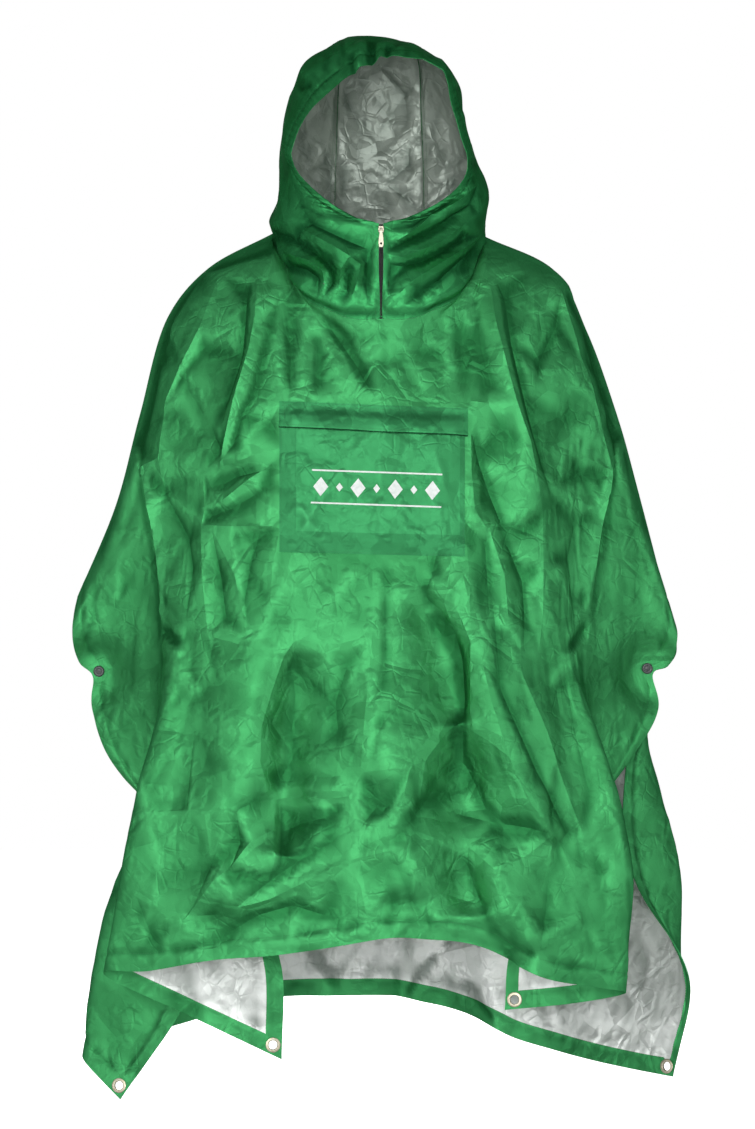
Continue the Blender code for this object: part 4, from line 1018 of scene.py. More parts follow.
class Panel:
    """The front or the back: its smooth surface, its creases and its shell."""

    def __init__(self, name, panel, eyelets, creases):
        self.name, self.eyelets = name, eyelets
        facing = panel[-1]
        points = panel_points(panel, ACROSS, np.linspace(0, 1, DENSE))
        for col in (0, -1):
            place = panel_points(panel, ACROSS[[col]], np.array([SNAP_LEVEL]))[0, 0]
            points = pinch_at_snap(points, place, facing)
        for eyelet in eyelets:
            points = flatten_corner(points, *disc_frame(eyelet))
        points[0, np.abs(ACROSS) >= LINES["neck"] - 1, 1] = facing * TOP_APART
        self.base, self.arcs = along_cloth(points)
        drawn, on = drawn_to(self.base, *creases)
        self.to_edges = (self.arcs[-1][None] - self.arcs,  # along the cloth to the hem
                         np.broadcast_to(HALF_WIDTH - np.abs(ACROSS)[None, :], self.arcs.shape))
        near = np.min([far_from(self.base, eyelet) for eyelet in eyelets], axis=0)
        self.on = (on & (self.arcs > CREASE_FROM_TOP) & (np.minimum(*self.to_edges) > CREASE_FROM_HEM)
                   & (near > EYELET_FLAT))
        self.base = np.where(self.on[..., None], drawn, self.base)
        self.normals = normals_of(self.base, BODY)
        self.rows = self.arcs.mean(axis=1)

    def weights(self):
        """Creases fade at the top seam, and round the eyelets and snaps."""
        w = smooth(*SEAM_FADE, self.arcs)
        for names, fade in ((self.eyelets, EYELET_FADE), (SNAP_STUDS, SNAP_FADE)):
            for name in names:
                w = w * smooth(*fade, far_from(self.base, name))
        return w

    def at_hem(self, width):
        """1 on the hem's and the side edges' stitches, and 0 far from them."""
        return sum(np.exp(-(((far - HEM) / width) ** 2)) for far in self.to_edges)

    def dress(self, push):
        """Pushes the surface out by its creases and makes the shell."""
        push = push * self.weights()
        turned = np.maximum(*(1 - smooth(HEM - 1, HEM + 2, far) for far in self.to_edges))
        rng = np.random.default_rng(11)
        pucker = softened(rng.normal(0, PUCKER, push.shape) * self.at_hem(PUCKER_WIDE))
        push = push + (pucker - HEM_GROOVE * self.at_hem(GROOVE_WIDE)) * self.weights()
        self.middle = self.base + self.normals * push[..., None]
        self.thick = THICK + HEM_THICKER * turned
        inside = np.ones((push.shape[0] - 1, push.shape[1] - 1), int)
        inside[-HEM_ROWS:] = 0
        inside[:, :HEM_COLS] = inside[:, -HEM_COLS:] = 0
        keep = np.ones(inside.shape, bool)
        for eyelet in self.eyelets:
            self.middle, gone = holed(self.middle, *disc_frame(eyelet))
            keep &= ~gone
        self.outer, inner = (self.middle + self.normals * way * (self.thick / 2)[..., None]
                             for way in (1, -1))
        node_name = self.name.replace("cloth_", "")
        self.shell = shell(self.name, self.middle, self.normals, self.thick,
                           flat_cloth(ACROSS[None, :], self.arcs), crease_shade(push), inside,
                           [GREEN, SILVER], [node_name], keep, self.on)
        hem_row = -1 - HEM_ROWS
        seams = [np.s_[hem_row, HEM_COLS:-HEM_COLS]]
        seams += [np.s_[2:hem_row, col] for col in (HEM_COLS, -1 - HEM_COLS)]
        sewn(node_name + "_stitching", [stitches(face[seam], self.normals[seam] * way)
                                        for face, way in ((self.outer, 1), (inner, -1))
                                        for seam in seams])


HOLE_DEEP = 15  # cloth further off than this, along its axis, isn't holed
HOLE_SPARE, HOLE_REACH = 1.2, 2.2  # added to its radius, and times it


def holed(middle, centre, axis):
    """Takes out the cells under an eyelet's hole and rounds what is left."""
    off = middle - centre
    above = off @ axis
    off = off - above[..., None] * axis
    far = np.linalg.norm(off, axis=2)
    inner = (far < CLOTH_HOLE + HOLE_SPARE) & (np.abs(above) < HOLE_DEEP)
    gone = np.zeros((middle.shape[0] - 1, middle.shape[1] - 1), bool)
    for r, c in zip(*np.nonzero(inner)):
        gone[max(r - 1, 0): r + 1, max(c - 1, 0): c + 1] = True
    ring = np.zeros(middle.shape[:2], bool)
    for r, c in zip(*np.nonzero(gone)):
        ring[r: r + 2, c: c + 2] = True
    ring &= ~inner
    middle = middle.copy()
    for r, c in zip(*np.nonzero(ring)):
        if far[r, c] < CLOTH_HOLE * HOLE_REACH:
            middle[r, c] = middle[r, c] - off[r, c] * (1 - CLOTH_HOLE / far[r, c])
    return middle, gone


# Main creases of the front: ends, how far out (or in), half width and bow.
FRONT_CREASES = (
    # x1, z1, x2, z2, out, width, bow
    (4, -95, 3, -215, -0.9, 3, 0),
    (-84, -78, -12, -198, -5.0, 8, -3),
    (-98, -80, -34, -200, 2.0, 12, 0),
    (-122, -95, -121, -196, -3.4, 8, 0),
    (-86, -112, -86, -198, -2.6, 7, 0),
    (-104, -84, -106, -200, 2.6, 8, 0),
    (-137, -84, -139, -200, 2.2, 8, 0),
    (-62, -130, -52, -200, 1.6, 8, 0),
    (110, -90, 112, -200, -2.8, 9, 0),
    (90, -90, 92, -196, 2.0, 8, 0),
    (8, -416, 3, -620, -2.2, 3, 0),
    (3, -620, -14, -700, -2.0, 3, 0),
    (95, -755, 275, -806, -1.6, 5, 6),
    (-178, -310, -98, -321, -1.6, 4, 4),
    (-98, -321, -63, -351, -1.6, 4, 3),
    (-292, -108, -266, -160, -1.6, 5, 0),
    (-135, -205, -190, -268, 1.6, 5, 3),
    (116, -207, 142, -203, 1.6, 4, 0),
    (-45, -824, 42, -806, 1.6, 4, 0),
    (42, -703, -10, -780, -2.0, 5, 2),
    (42, -806, 49, -886, 1.6, 4, 0),
    (150, -834, 212, -937, -2.0, 4, 0),
    (109, -608, 109, -690, 1.6, 5, 0),
    (205, -54, 205, -92, 1.6, 4, 0),
    (211, -178, 215, -150, -2.0, 4, 0),
    (215, -150, 236, -105, -1.8, 4, 0),
    (-266, -907, -178, -800, -1.8, 4, 0),
)
# Short ones at the inside of the elbows, over the snaps and round the pocket.
FRONT_TUCKS = (
    (-298, -478, -262, -520, 3.0, 5, 2),
    (-306, -505, -268, -536, -3.2, 5, 0),
    (-300, -530, -262, -545, 2.6, 4, 0),
    (-292, -455, -276, -540, -3.0, 6, 4),
    (-285, -552, -240, -600, 2.6, 6, 3),
    (-330, -440, -290, -500, 2.2, 7, 0),
    (282, -472, 250, -528, 3.0, 5, -2),
    (290, -496, 252, -545, -3.2, 5, 0),
    (286, -520, 254, -553, 2.6, 4, 0),
    (272, -452, 262, -545, -3.0, 6, -4),
    (262, -548, 226, -592, 2.6, 6, 0),
    (318, -430, 280, -488, 2.2, 7, 0),
    (-383, -577, -348, -531, 2.2, 5, 0),
    (367, -571, 334, -528, 2.2, 5, 0),
    (-378, -590, -330, -600, -1.8, 5, 0),
    (360, -584, 316, -592, -1.8, 5, 0),
    (-345, -380, -300, -330, 1.8, 6, 0),
    (-330, -300, -290, -262, -1.8, 6, 3),
    (-300, -220, -262, -196, 1.6, 5, 0),
    (312, -300, 270, -258, -1.8, 6, 0),
    (330, -372, 288, -330, 1.8, 6, 2),
    (286, -205, 250, -170, 1.6, 5, 0),
    (-60, -122, -105, -140, 1.4, 5, 0),
    (60, -118, 112, -150, 1.4, 6, 0),
    (30, -118, 70, -196, 1.4, 6, 4),
    (-30, -425, -90, -520, 1.6, 7, 4),
    (60, -420, 95, -520, 1.8, 7, 0),
    (100, -425, 150, -540, 2.0, 8, 0),
    (-120, -430, -170, -540, 1.8, 7, 5),
    (110, -300, 138, -420, 1.6, 6, 0),
    (-330, -650, -290, -860, 2.4, 10, 8),
    (-300, -840, -330, -960, 2.2, 9, 0),
    (300, -700, 330, -900, 2.4, 10, -8),
    (20, -860, 10, -925, -2.0, 8, 0),
    (-110, -860, -130, -945, 2.0, 9, 0),
)
# The front is creased into flat facets. Each line is a crease: x and z in the
# front view, and how far out it stands. First its lower part, then the upper one.
FRONT_LOWER = (
    # round the rest, where the cloth is smooth
    ((-300, -430, 0), (-200, -440, 0), (-100, -450, 0), (0, -450, 0), (100, -430, 0), (220, -430, 0),
     (320, -470, 0), (330, -700, 0), (345, -860, 0), (340, -1010, 0), (0, -1010, 0), (-280, -1010, 0),
     (-380, -1000, 0), (-350, -760, 0), (-310, -600, 0), (-300, -430, 0)),
    # the large valley on the wearer's right, from its notch down
    ((-160, -470, 0), (-128, -500, 0), (-115, -526, 1), (-132, -549, 3), (-150, -598, 5), (-163, -645, 6),
     (-165, -691, 6), (-157, -718, 3), (-170, -744, 1)),
    ((-115, -526, 1), (-57, -532, 3), (-12, -521, 4)),
    ((-115, -526, 1), (-121, -565, -4), (-116, -600, -5), (-120, -640, -6), (-121, -687, -5),
     (-134, -712, -4)),
    ((-121, -565, -4), (-97, -591, -6), (-111, -625, -5), (-97, -655, -6), (-111, -687, -5)),
    ((-97, -591, -6), (-62, -608, -7), (-45, -560, -2)),
    ((-62, -608, -7), (-60, -650, -6), (-88, -672, -5), (-55, -680, -1)),
    ((-134, -712, -4), (-111, -738, 3)),
    ((-55, -680, -1), (-62, -712, 1), (-111, -712, -3)),
    # the packing crease across
    ((-350, -760, 0), (-260, -757, 3), (-236, -762, 4), (-196, -757, 2), (-170, -744, 1), (-140, -741, 3),
     (-111, -738, 3), (-75, -742, 5), (-39, -737, 5), (-27, -705, 3), (-22, -643, 5), (-12, -521, 4),
     (-8, -470, 1)),
    ((-22, -643, 5), (-48, -655, -2)),
    ((-196, -757, 2), (-190, -800, -4), (-204, -835, -3)),
    ((-132, -783, -5), (-111, -772, -6), (-75, -765, -5), (-57, -790, -1)),
    ((-111, -738, 3), (-111, -772, -6)),
    # the dark triangle and the bright strip under it
    ((-146, -783, 7), (-177, -800, 7), (-200, -830, 6), (-224, -850, 5), (-270, -911, 3), (-295, -950, 0)),
    ((-146, -783, 7), (-132, -783, -5)),
    ((-196, -890, -4), (-139, -845, -8), (-104, -822, -6), (-66, -800, -3), (-57, -790, -1), (-28, -783, 6)),
    ((-196, -890, -4), (-150, -876, 0), (-109, -856, 3), (-46, -825, 6), (-27, -859, 4), (-77, -898, -5)),
    ((-46, -825, 6), (-66, -800, -3)),
    ((-163, -898, -8), (-120, -885, -8), (-77, -898, -5)),
    ((-163, -898, -8), (-230, -935, -3), (-215, -960, 1)),
    ((-120, -885, -8), (-128, -935, -2), (-70, -930, 1), (-20, -920, 2)),
    ((-77, -898, -5), (-20, -896, 2), (-27, -859, 4)),
    ((-39, -737, 5), (-46, -790, 2), (-28, -783, 6), (-8, -753, -3)),
    ((-39, -737, 5), (-8, -753, -3), (12, -765, 4), (12, -811, 3), (-28, -783, 6)),
    ((12, -811, 3), (-46, -825, 6)),
    ((-27, -705, 3), (38, -699, 6), (76, -664, 4), (99, -643, -5)),
    ((38, -699, 6), (27, -751, 4), (-8, -753, -3)),
    ((-20, -896, 2), (42, -880, -2), (12, -811, 3)),
    # the large valley on the wearer's left
    ((40, -430, 0), (57, -468, 2), (81, -486, -4), (100, -518, -6), (107, -559, -7), (111, -608, -6),
     (111, -645, -5), (111, -691, -9), (102, -733, -8), (99, -759, -4)),
    ((57, -468, 2), (62, -520, 1), (66, -600, -1), (80, -640, 0), (76, -664, 4)),
    ((81, -486, -4), (104, -488, 1), (122, -530, 5), (122, -570, 3), (122, -630, 4)),
    ((111, -608, -6), (122, -630, 4), (124, -648, 4)),
    ((80, -706, -3), (102, -733, -8)),
    ((57, -689, 6), (80, -706, -3), (53, -752, -5), (99, -759, -4)),
    ((38, -699, 6), (57, -689, 6), (76, -664, 4)),
    ((57, -689, 6), (53, -752, -5), (27, -751, 4)),
    # the large slanting ridge beside it, and the dark facet below
    ((110, -440, 0), (136, -551, 5), (150, -610, 8), (174, -683, 10), (197, -740, 9), (231, -788, 4),
     (252, -815, 1)),
    ((111, -645, -5), (124, -648, 4), (147, -661, 8), (174, -683, 10)),
    ((111, -691, -9), (124, -720, -9), (135, -748, -9), (167, -775, -8), (200, -781, -4), (231, -788, 4)),
    ((99, -759, -4), (118, -752, -5), (135, -748, -9)),
    ((99, -759, -4), (138, -770, -4), (167, -775, -8)),
    # the second ridge
    ((150, -470, 1), (161, -594, 0), (185, -650, -1), (208, -702, -1), (231, -745, 0), (252, -790, 0)),
    ((186, -470, 2), (186, -570, 4), (220, -653, 6), (250, -740, 7), (273, -790, 3), (290, -830, 0)),
    ((240, -520, -2), (262, -650, -2), (280, -730, -1)),
    ((231, -788, 4), (242, -803, 1), (273, -790, 3)),
    # under them, down to the hem
    ((99, -759, -4), (117, -805, 2), (151, -834, 5), (186, -892, 7), (212, -937, 8), (209, -985, 6)),
    ((117, -830, -1), (124, -857, -2), (146, -911, -5), (172, -953, -7), (190, -985, -5)),
    ((117, -805, 2), (117, -830, -1)),
    ((43, -828, 3), (74, -865, 1), (122, -907, -2), (148, -940, -5), (160, -955, -5)),
    ((43, -828, 3), (99, -759, -4)),
    ((12, -811, 3), (43, -828, 3), (42, -880, -1), (84, -922, -3), (160, -955, -5)),
    ((43, -828, 3), (70, -800, 2), (53, -752, -5)),
    ((84, -850, 0), (117, -830, -1)),
    ((151, -834, 5), (188, -823, 3), (231, -788, 4), (226, -850, 0), (220, -911, 2), (212, -937, 9)),
    ((231, -788, 4), (242, -803, 1), (262, -850, 3), (300, -880, 0)),
    ((220, -911, 2), (260, -900, 4), (300, -940, 0)),
    ((212, -937, 9), (250, -985, 2)),
    # the lower part on the wearer's right
    ((-310, -600, 0), (-262, -560, 3), (-250, -640, 2), (-262, -757, 1)),
    ((-236, -762, 4), (-230, -830, -2), (-250, -880, 2), (-270, -911, 3)),
    ((-330, -870, 3), (-308, -930, -2), (-340, -960, 1)),
    ((-20, -920, 2), (40, -925, -2), (84, -922, -4)),
)
FRONT_UPPER = (
    # round the rest
    ((-420, 40, 0), (0, 40, 0), (400, 40, 0), (430, -200, 0), (440, -620, 0), (330, -600, 0), (262, -600, 0),
     (120, -560, 0), (0, -560, 0), (-120, -560, 0), (-250, -600, 0), (-330, -600, 0), (-450, -620, 0),
     (-430, -200, 0), (-420, 40, 0)),
    # where the arm of the wearer's right turns away
    ((-216, -32, 3), (-242, -105, 5), (-267, -157, 7), (-286, -204, 8), (-297, -281, 8), (-324, -293, 3),
     (-352, -328, -4)),
    ((-324, -293, 3), (-315, -351, 8), (-324, -382, 8), (-333, -446, 7), (-328, -478, 6), (-340, -540, 1)),
    ((-240, -30, -2), (-283, -106, -1), (-242, -105, 4)),
    ((-283, -106, -1), (-276, -130, 1), (-267, -157, 5)),
    ((-280, -90, -4), (-302, -150, -9), (-322, -230, -10), (-334, -285, -8), (-350, -345, -9),
     (-358, -400, -10), (-370, -470, -7), (-376, -520, 0)),
    # the shoulder's ridge and its troughs
    ((-165, -38, 4), (-170, -90, 6), (-178, -134, 6), (-197, -204, 6), (-216, -286, 4)),
    ((-181, -58, -3), (-188, -143, -4), (-203, -191, -3), (-217, -240, 0)),
    ((-135, -60, 0), (-149, -105, -2), (-168, -178, -4), (-188, -223, -4), (-200, -262, -3), (-216, -286, 4)),
    ((-267, -157, 5), (-240, -134, -1), (-213, -112, 2), (-193, -89, 1), (-188, -143, -4)),
    ((-269, -171, 3), (-228, -242, -2), (-217, -274, -3), (-216, -286, 4)),
    ((-136, -207, 1), (-152, -236, -3), (-188, -258, -1), (-200, -262, -3)),
    ((-133, -267, 0), (-175, -278, 3), (-216, -293, 2), (-236, -320, 0)),
    ((-136, -281, 0), (-178, -310, 4), (-209, -335, 3), (-238, -351, 1)),
    ((-150, -296, -2), (-195, -306, -2), (-216, -318, -3)),
    ((-160, -325, -2), (-205, -350, -3), (-232, -360, -3)),
    ((-242, -371, 2), (-205, -373, 2), (-165, -372, 3), (-136, -374, 0)),
    ((-143, -344, 1), (-165, -382, -4), (-178, -431, -3), (-185, -480, 0)),
    ((-136, -374, 0), (-146, -430, 3), (-150, -480, 2)),
    ((-228, -376, 2), (-216, -446, -3), (-209, -497, -2)),
    ((-228, -376, 2), (-196, -440, 3), (-180, -520, 3)),
    ((-297, -281, 6), (-290, -330, 1), (-261, -389, -4), (-254, -430, -3), (-262, -500, 0)),
    ((-240, -300, 2), (-238, -351, 1), (-242, -371, 2), (-240, -430, 3), (-232, -520, 3)),
    ((-300, -380, 4), (-296, -450, 4)),
    # from the neck
    ((-88, -77, -1), (-59, -121, -5), (-34, -158, -4), (-12, -192, -1)),
    # the shoulder's ridge and its troughs on the wearer's left
    ((147, -50, 4), (153, -90, 6), (163, -127, 6), (182, -204, 6), (200, -260, 5), (208, -302, 5),
     (217, -356, 2)),
    ((166, -60, -2), (176, -124, -4), (196, -204, -5), (205, -239, -5), (217, -290, -2), (228, -330, 0)),
    ((125, -60, 0), (134, -127, -3), (148, -180, -2), (144, -207, 1)),
    ((112, -47, 3), (151, -35, 3), (200, -28, 2)),
    ((119, -204, 0), (144, -207, 1), (163, -239, -3), (176, -255, -2), (182, -204, 6)),
    ((121, -242, 1), (132, -285, -6), (146, -325, -8), (163, -368, -6), (192, -380, -2)),
    ((121, -242, 1), (122, -300, 2), (126, -350, 2), (141, -375, 2)),
    ((176, -255, -2), (180, -310, 3), (196, -350, 5), (192, -380, -2)),
    ((163, -368, -6), (141, -375, 2), (147, -379, -1), (173, -401, -5), (192, -446, -7), (194, -497, -5),
     (190, -540, 0)),
    ((217, -356, 2), (216, -420, 5), (216, -490, 5), (212, -540, 1)),
    ((192, -380, -2), (216, -420, 5)),
    ((112, -366, 1), (141, -398, -3), (144, -446, -3), (146, -500, 0)),
    ((147, -379, -1), (166, -440, 3), (170, -500, 3)),
    ((77, -401, -1), (71, -429, -4), (62, -459, -5), (60, -490, -4), (81, -520, -3)),
    ((95, -395, 2), (92, -440, 4), (86, -475, 4), (100, -520, 3)),
    ((112, -366, 1), (118, -430, 3), (120, -500, 3)),
    # where that arm turns away
    ((230, -22, 3), (240, -57, 5), (265, -147, 7), (278, -178, 8), (290, -223, 8), (310, -299, 8),
     (304, -350, 8), (313, -414, 8), (329, -497, 6), (336, -545, 1)),
    ((272, -100, -4), (297, -170, -9), (316, -230, -10), (336, -299, -9), (340, -350, -9), (352, -414, -10),
     (364, -480, -7), (366, -530, 0)),
    ((278, -178, 6), (250, -228, 1), (228, -271, -2), (217, -290, -2)),
    ((211, -178, 2), (215, -150, -2), (236, -105, -3), (240, -57, 4)),
    ((205, -54, 3), (205, -92, 2), (198, -121, 1), (215, -150, -2)),
    ((228, -271, -2), (250, -268, 3), (310, -299, 6)),
    ((240, -315, 0), (270, -304, -3), (297, -300, 2)),
    ((316, -309, 0), (334, -325, 0), (352, -340, 0)),
    ((236, -320, 2), (262, -375, -3), (252, -420, -3), (262, -500, 0)),
    ((240, -430, 3), (236, -520, 3)),
    ((290, -350, 3), (286, -430, 4), (300, -480, 3)),
)
# The back's main creases: as those of the front, and then made lower.
BACK_STRENGTH = 0.6
BACK_CREASES = (
    (0, -60, 0, -560, 2.0, 7, 0),
    (0, -560, 18, -1000, -5.0, 14, 8),
    (-320, -420, 320, -425, -1.6, 7, 0),
    (-330, -760, 330, -768, -2.2, 8, 4),
    (-160, -70, -130, -330, 4.0, 12, 8),
    (160, -70, 135, -330, 4.0, 12, -8),
    (-90, -60, -60, -300, -3.0, 12, 0),
    (90, -60, 66, -300, -3.0, 12, 0),
    (-240, -140, -150, -520, 3.5, 11, 10),
    (240, -140, 150, -520, 3.5, 11, -10),
    (-60, -300, -130, -900, 4.5, 16, 14),
    (70, -330, 120, -960, 4.5, 16, -14),
    (-200, -520, -250, -1040, -5.0, 15, 10),
    (205, -500, 240, -1000, -4.5, 15, -8),
    (-300, -470, -262, -540, 3.0, 6, 0),
    (-310, -505, -255, -560, -3.0, 6, 0),
    (300, -470, 262, -540, 3.0, 6, 0),
    (306, -505, 252, -560, -3.0, 6, 0),
    (-380, -590, -300, -640, 2.4, 8, 4),
    (372, -588, 300, -640, 2.4, 8, -4),
    (-150, -640, -20, -820, 3.0, 9, 6),
    (30, -700, 160, -860, 3.0, 9, 0),
    (-320, -860, -200, -980, 3.0, 9, 6),
    (120, -900, 250, -1050, 3.0, 10, 0),
    (-80, -980, -60, -1090, -4.0, 12, 0),
    (22, -950, 26, -1100, 5.0, 10, 0),
    (140, -960, 168, -1100, -6.0, 12, 0),
    (-210, -960, -190, -1100, 4.0, 12, 0),
    # what shows of its inside under the front
    (-142, -925, -96, -992, -5.0, 6, 0),
    (-112, -920, -52, -1000, 6.0, 6, 3),
    (-56, -1000, -8, -928, -5.5, 6, 0),
    (34, -1012, 104, -926, 7.0, 5, -4),
    (62, -922, 116, -990, -6.0, 6, 0),
    (108, -985, 158, -1046, 6.0, 5, 0),
    (205, -950, 238, -1052, -5.0, 7, 0),
    (222, -925, 300, -1010, 5.0, 6, 4),
)


# How crumpled the cloth is, from the chest down and from the centre out.
LOW_FROM, SIDES_FROM = (380, 620), (190, 330)
BIG, SMALL = (104, 3.0), (24, 0.45)  # facets: spacing and height
BIG_TALL = 1.5
SHORT = (330, (26, 110), (0.3, 1.4), (4.0, 8.0), (70, 38))  # short creases, as in scattered


def crumple(panel, crazing, chest, low, sides, seed):
    """Random crumpling: facets of three sizes and short creases, by how loose the cloth is.

    chest, low and sides are how strong it is there.
    """
    rows, cols = panel.rows, ACROSS
    x, z = seen(panel.base)
    strength = chest + (low - chest) * smooth(*LOW_FROM, -z)
    strength = strength + (sides - strength) * smooth(*SIDES_FROM, np.abs(cols))[None, :]
    big = softened(facets(rows, cols, BIG[0], seed, BIG_TALL)) * BIG[1]
    small = facets(rows, cols, SMALL[0], seed + 2) * SMALL[1]
    short = scattered(rows, cols, *SHORT, seed + 3)
    return strength * (big + network(x, z, crazing) + small + short)


FRONT_CRAZING = crazed((-560, -1120), (560, 60), 57, 2.5, 71)
BACK_CRAZING = crazed((-560, -1200), (560, 60), 61, 2.7, 72)
HOOD_CRAZING = crazed((-200, -120), (200, 330), 33, 4.2, 73)


front = Panel("cloth_front_panel", FRONT, ("eyelet_front_right", "eyelet_front_left"),
              (FRONT_UPPER[1:] + FRONT_LOWER[1:], FRONT_CRAZING))
x, z = seen(front.base)
in_view = (np.abs(ACROSS) < FOLDS_REACH)[None, :]  # not folded under
push = crumple(front, FRONT_CRAZING, 0.3, 0.75, 0.7, 21)
push += (network(x, z, FRONT_UPPER) + network(x, z, FRONT_LOWER)
         + creased(x, z, FRONT_CREASES, 3) + creased(x, z, FRONT_TUCKS, 4)) * in_view
front.dress(push)


BACK_SHIFT = 11  # how far a point of the back's creases moves at most


def other_side(lines, seed):
    """The same kind of creases for the back, turned over and each a little elsewhere."""
    rng = np.random.default_rng(seed)
    moved = {}
    for line in lines:
        for x, z, out in line:
            if (x, z) not in moved:
                moved[x, z] = (9 - x * 1.03 + rng.uniform(-BACK_SHIFT, BACK_SHIFT),
                               z * 1.05 - 12 + rng.uniform(-BACK_SHIFT, BACK_SHIFT),
                               out * rng.uniform(0.5, 1.1))
    return tuple(tuple(moved[x, z] for x, z, _ in line) for line in lines)


upper, lower = other_side(FRONT_UPPER, 8), other_side(FRONT_LOWER, 9)
back = Panel("cloth_back_panel", BACK, ("eyelet_back_right", "eyelet_back_left"),
             (upper[1:] + lower[1:], BACK_CRAZING))
x, z = seen(back.base)
push = crumple(back, BACK_CRAZING, 0.5, 0.8, 0.7, 61)
push += (network(x, z, upper) + network(x, z, lower)
         + creased(x, z, BACK_CREASES, 5) * BACK_STRENGTH) * in_view
back.dress(push)

# ---------------------------------------------------------------- hood

HEAD = (0, 0, 80)  # a place inside the hood
NAPE_IN = LINES["collar"]  # the crown strip meets the back this far from the centre
HOOD_ROWS = 156
FORE_COLS, AFT_COLS = 62, 26  # over the front's and the back's part of the neck seam
CROWN_CELLS = 40  # across the crown strip
BRIM = 20.0  # the tunnel round the face opening
BRIM_IN = BRIM + 4  # no point nearer to the brim moves onto a crease
ZIP_IN = 9  # nor nearer to the zip
SEAM_HOLD, CROWN_HOLD, NECK_HOLD = (0, 14), (0, 12), (0, 16)  # creases grow over these distances
COLLAR_HIGH = 5  # how far the collar stands out over its seam,
COLLAR_RISE, COLLAR_FALL, COLLAR_FRONT = (0, 18), (18, 64), (0, 40)  # and where, up and forwards


def neck_ring(side, stops):
    """The panels' top edges at stops of (panel, distance), round one side of the neck."""
    points = np.array([panel_points(panel, np.array([side * distance]), np.array([0.0]))[0, 0]
                       for panel, distance in stops])
    points[[d > LINES["neck"] - 1 for _, d in stops], 1] = 0
    return points


def hood_side(rows, side):
    """A side panel's middle surface, and which of its rows end at the zip."""
    table = real(np.array(rows, float))
    fore = np.linspace(0, LINES["neck"], FORE_COLS)
    aft = np.linspace(LINES["neck"], NAPE_IN, AFT_COLS)[1:]
    points = neck_ring(side, [(FRONT, d) for d in fore] + [(BACK, d) for d in aft])
    walk = length_along(points)
    across = walk / walk[-1]
    down = np.linspace(0, 1, HOOD_ROWS)
    grid = through(HOOD_AT, table, down).transpose(1, 0, 2)
    grid = through(HOOD_ACROSS, grid, across).transpose(1, 0, 2)
    zipped = side * grid[:, 0, 0] < ZIP_HALF + 3
    grid[zipped, 0, 0] = side * ZIP_HALF
    # The lowest rows run on into the panels' neck seam.
    coarse = down < HOOD_AT[1]
    blend = (1 - down[coarse] / HOOD_AT[1])[:, None, None]
    shift = points + (0, 0, GAP) - grid[0]
    grid[coarse] += shift[None] * blend
    grid[0, 0, 0] = side * ZIP_HALF
    return grid, zipped


COLLAR_FROM = (10, 50)  # forwards, where the hood's random creases give way to its own folds
COLLAR_CALM = 0.75  # of them are gone there
SIDE_STRENGTH, CROWN_STRENGTH = 0.75, 0.9  # of them on the hood's pieces
HOOD_FACETS = (22, 0.5)  # spacing and height
HOOD_SHORT = (60, (20, 70), (0.2, 1.0), (3.0, 6.0), (70, 40))


def drape_hood(grid, creases, folds, seed, strength, hold, free):
    """Creases on a hood piece; hold is 0 where it must stay, at its seams.

    free says which points may be drawn onto a crease. Returns the points, which
    of them are on one, their normals, how far to push them and how far along the
    cloth the rows and columns are.
    """
    fore = smooth(*COLLAR_FROM, -grid[..., 1])
    drawn, on = drawn_to(grid, folds[1:], HOOD_CRAZING)
    if folds:  # the collar has only its own folds
        collar, on_fold = drawn_to(grid, folds[1:])
        drawn = np.where((fore > 0.5)[..., None], collar, drawn)
        on = np.where(fore > 0.5, on_fold, on)
    on &= (hold > 0.2) & free
    grid = np.where(on[..., None], drawn, grid)
    normals = normals_of(grid, HEAD)
    rows, cols = mean_run(grid, 0), mean_run(grid, 1)
    x, z = seen(grid)
    calm = 1 - COLLAR_CALM * fore if folds else 1.0
    push = strength * calm * (
        facets(rows, cols, HOOD_FACETS[0], seed + 1) * HOOD_FACETS[1] + network(x, z, HOOD_CRAZING)
        + scattered(rows, cols, *HOOD_SHORT, seed + 2))
    push += creased(x, z, creases, seed + 3) * fore
    if folds:
        push += network(x, z, folds) * fore
    return grid, on, normals, push * hold, rows, cols


# Folds of the hood's front: ends, out, half width and bow, in the front view.
HOOD_CREASES_RIGHT = (
    (-128, 190, -118, 110, 2.6, 9, 3),
    (-122, 130, -136, 60, -2.6, 8, 2),
    (-112, 215, -92, 225, -2.5, 6, 0),
    (-108, 232, -80, 248, 2.2, 7, 0),
    (-60, 268, -66, 240, 2.0, 5, 0),
    (-48, 276, -52, 246, -2.0, 5, 0),
    (-78, 262, -84, 232, 2.0, 5, 0),
    (-116, 62, -72, 44, -2.0, 4, 0),
)
HOOD_CREASES_LEFT = (
    (128, 130, 136, 60, -2.8, 8, 2),
    (118, 200, 126, 130, 2.4, 8, 2),
    (104, 226, 112, 180, -2.4, 7, 0),
    (80, 262, 84, 232, 2.0, 6, 0),
    (60, 34, 96, 66, -2.0, 4, 0),
)
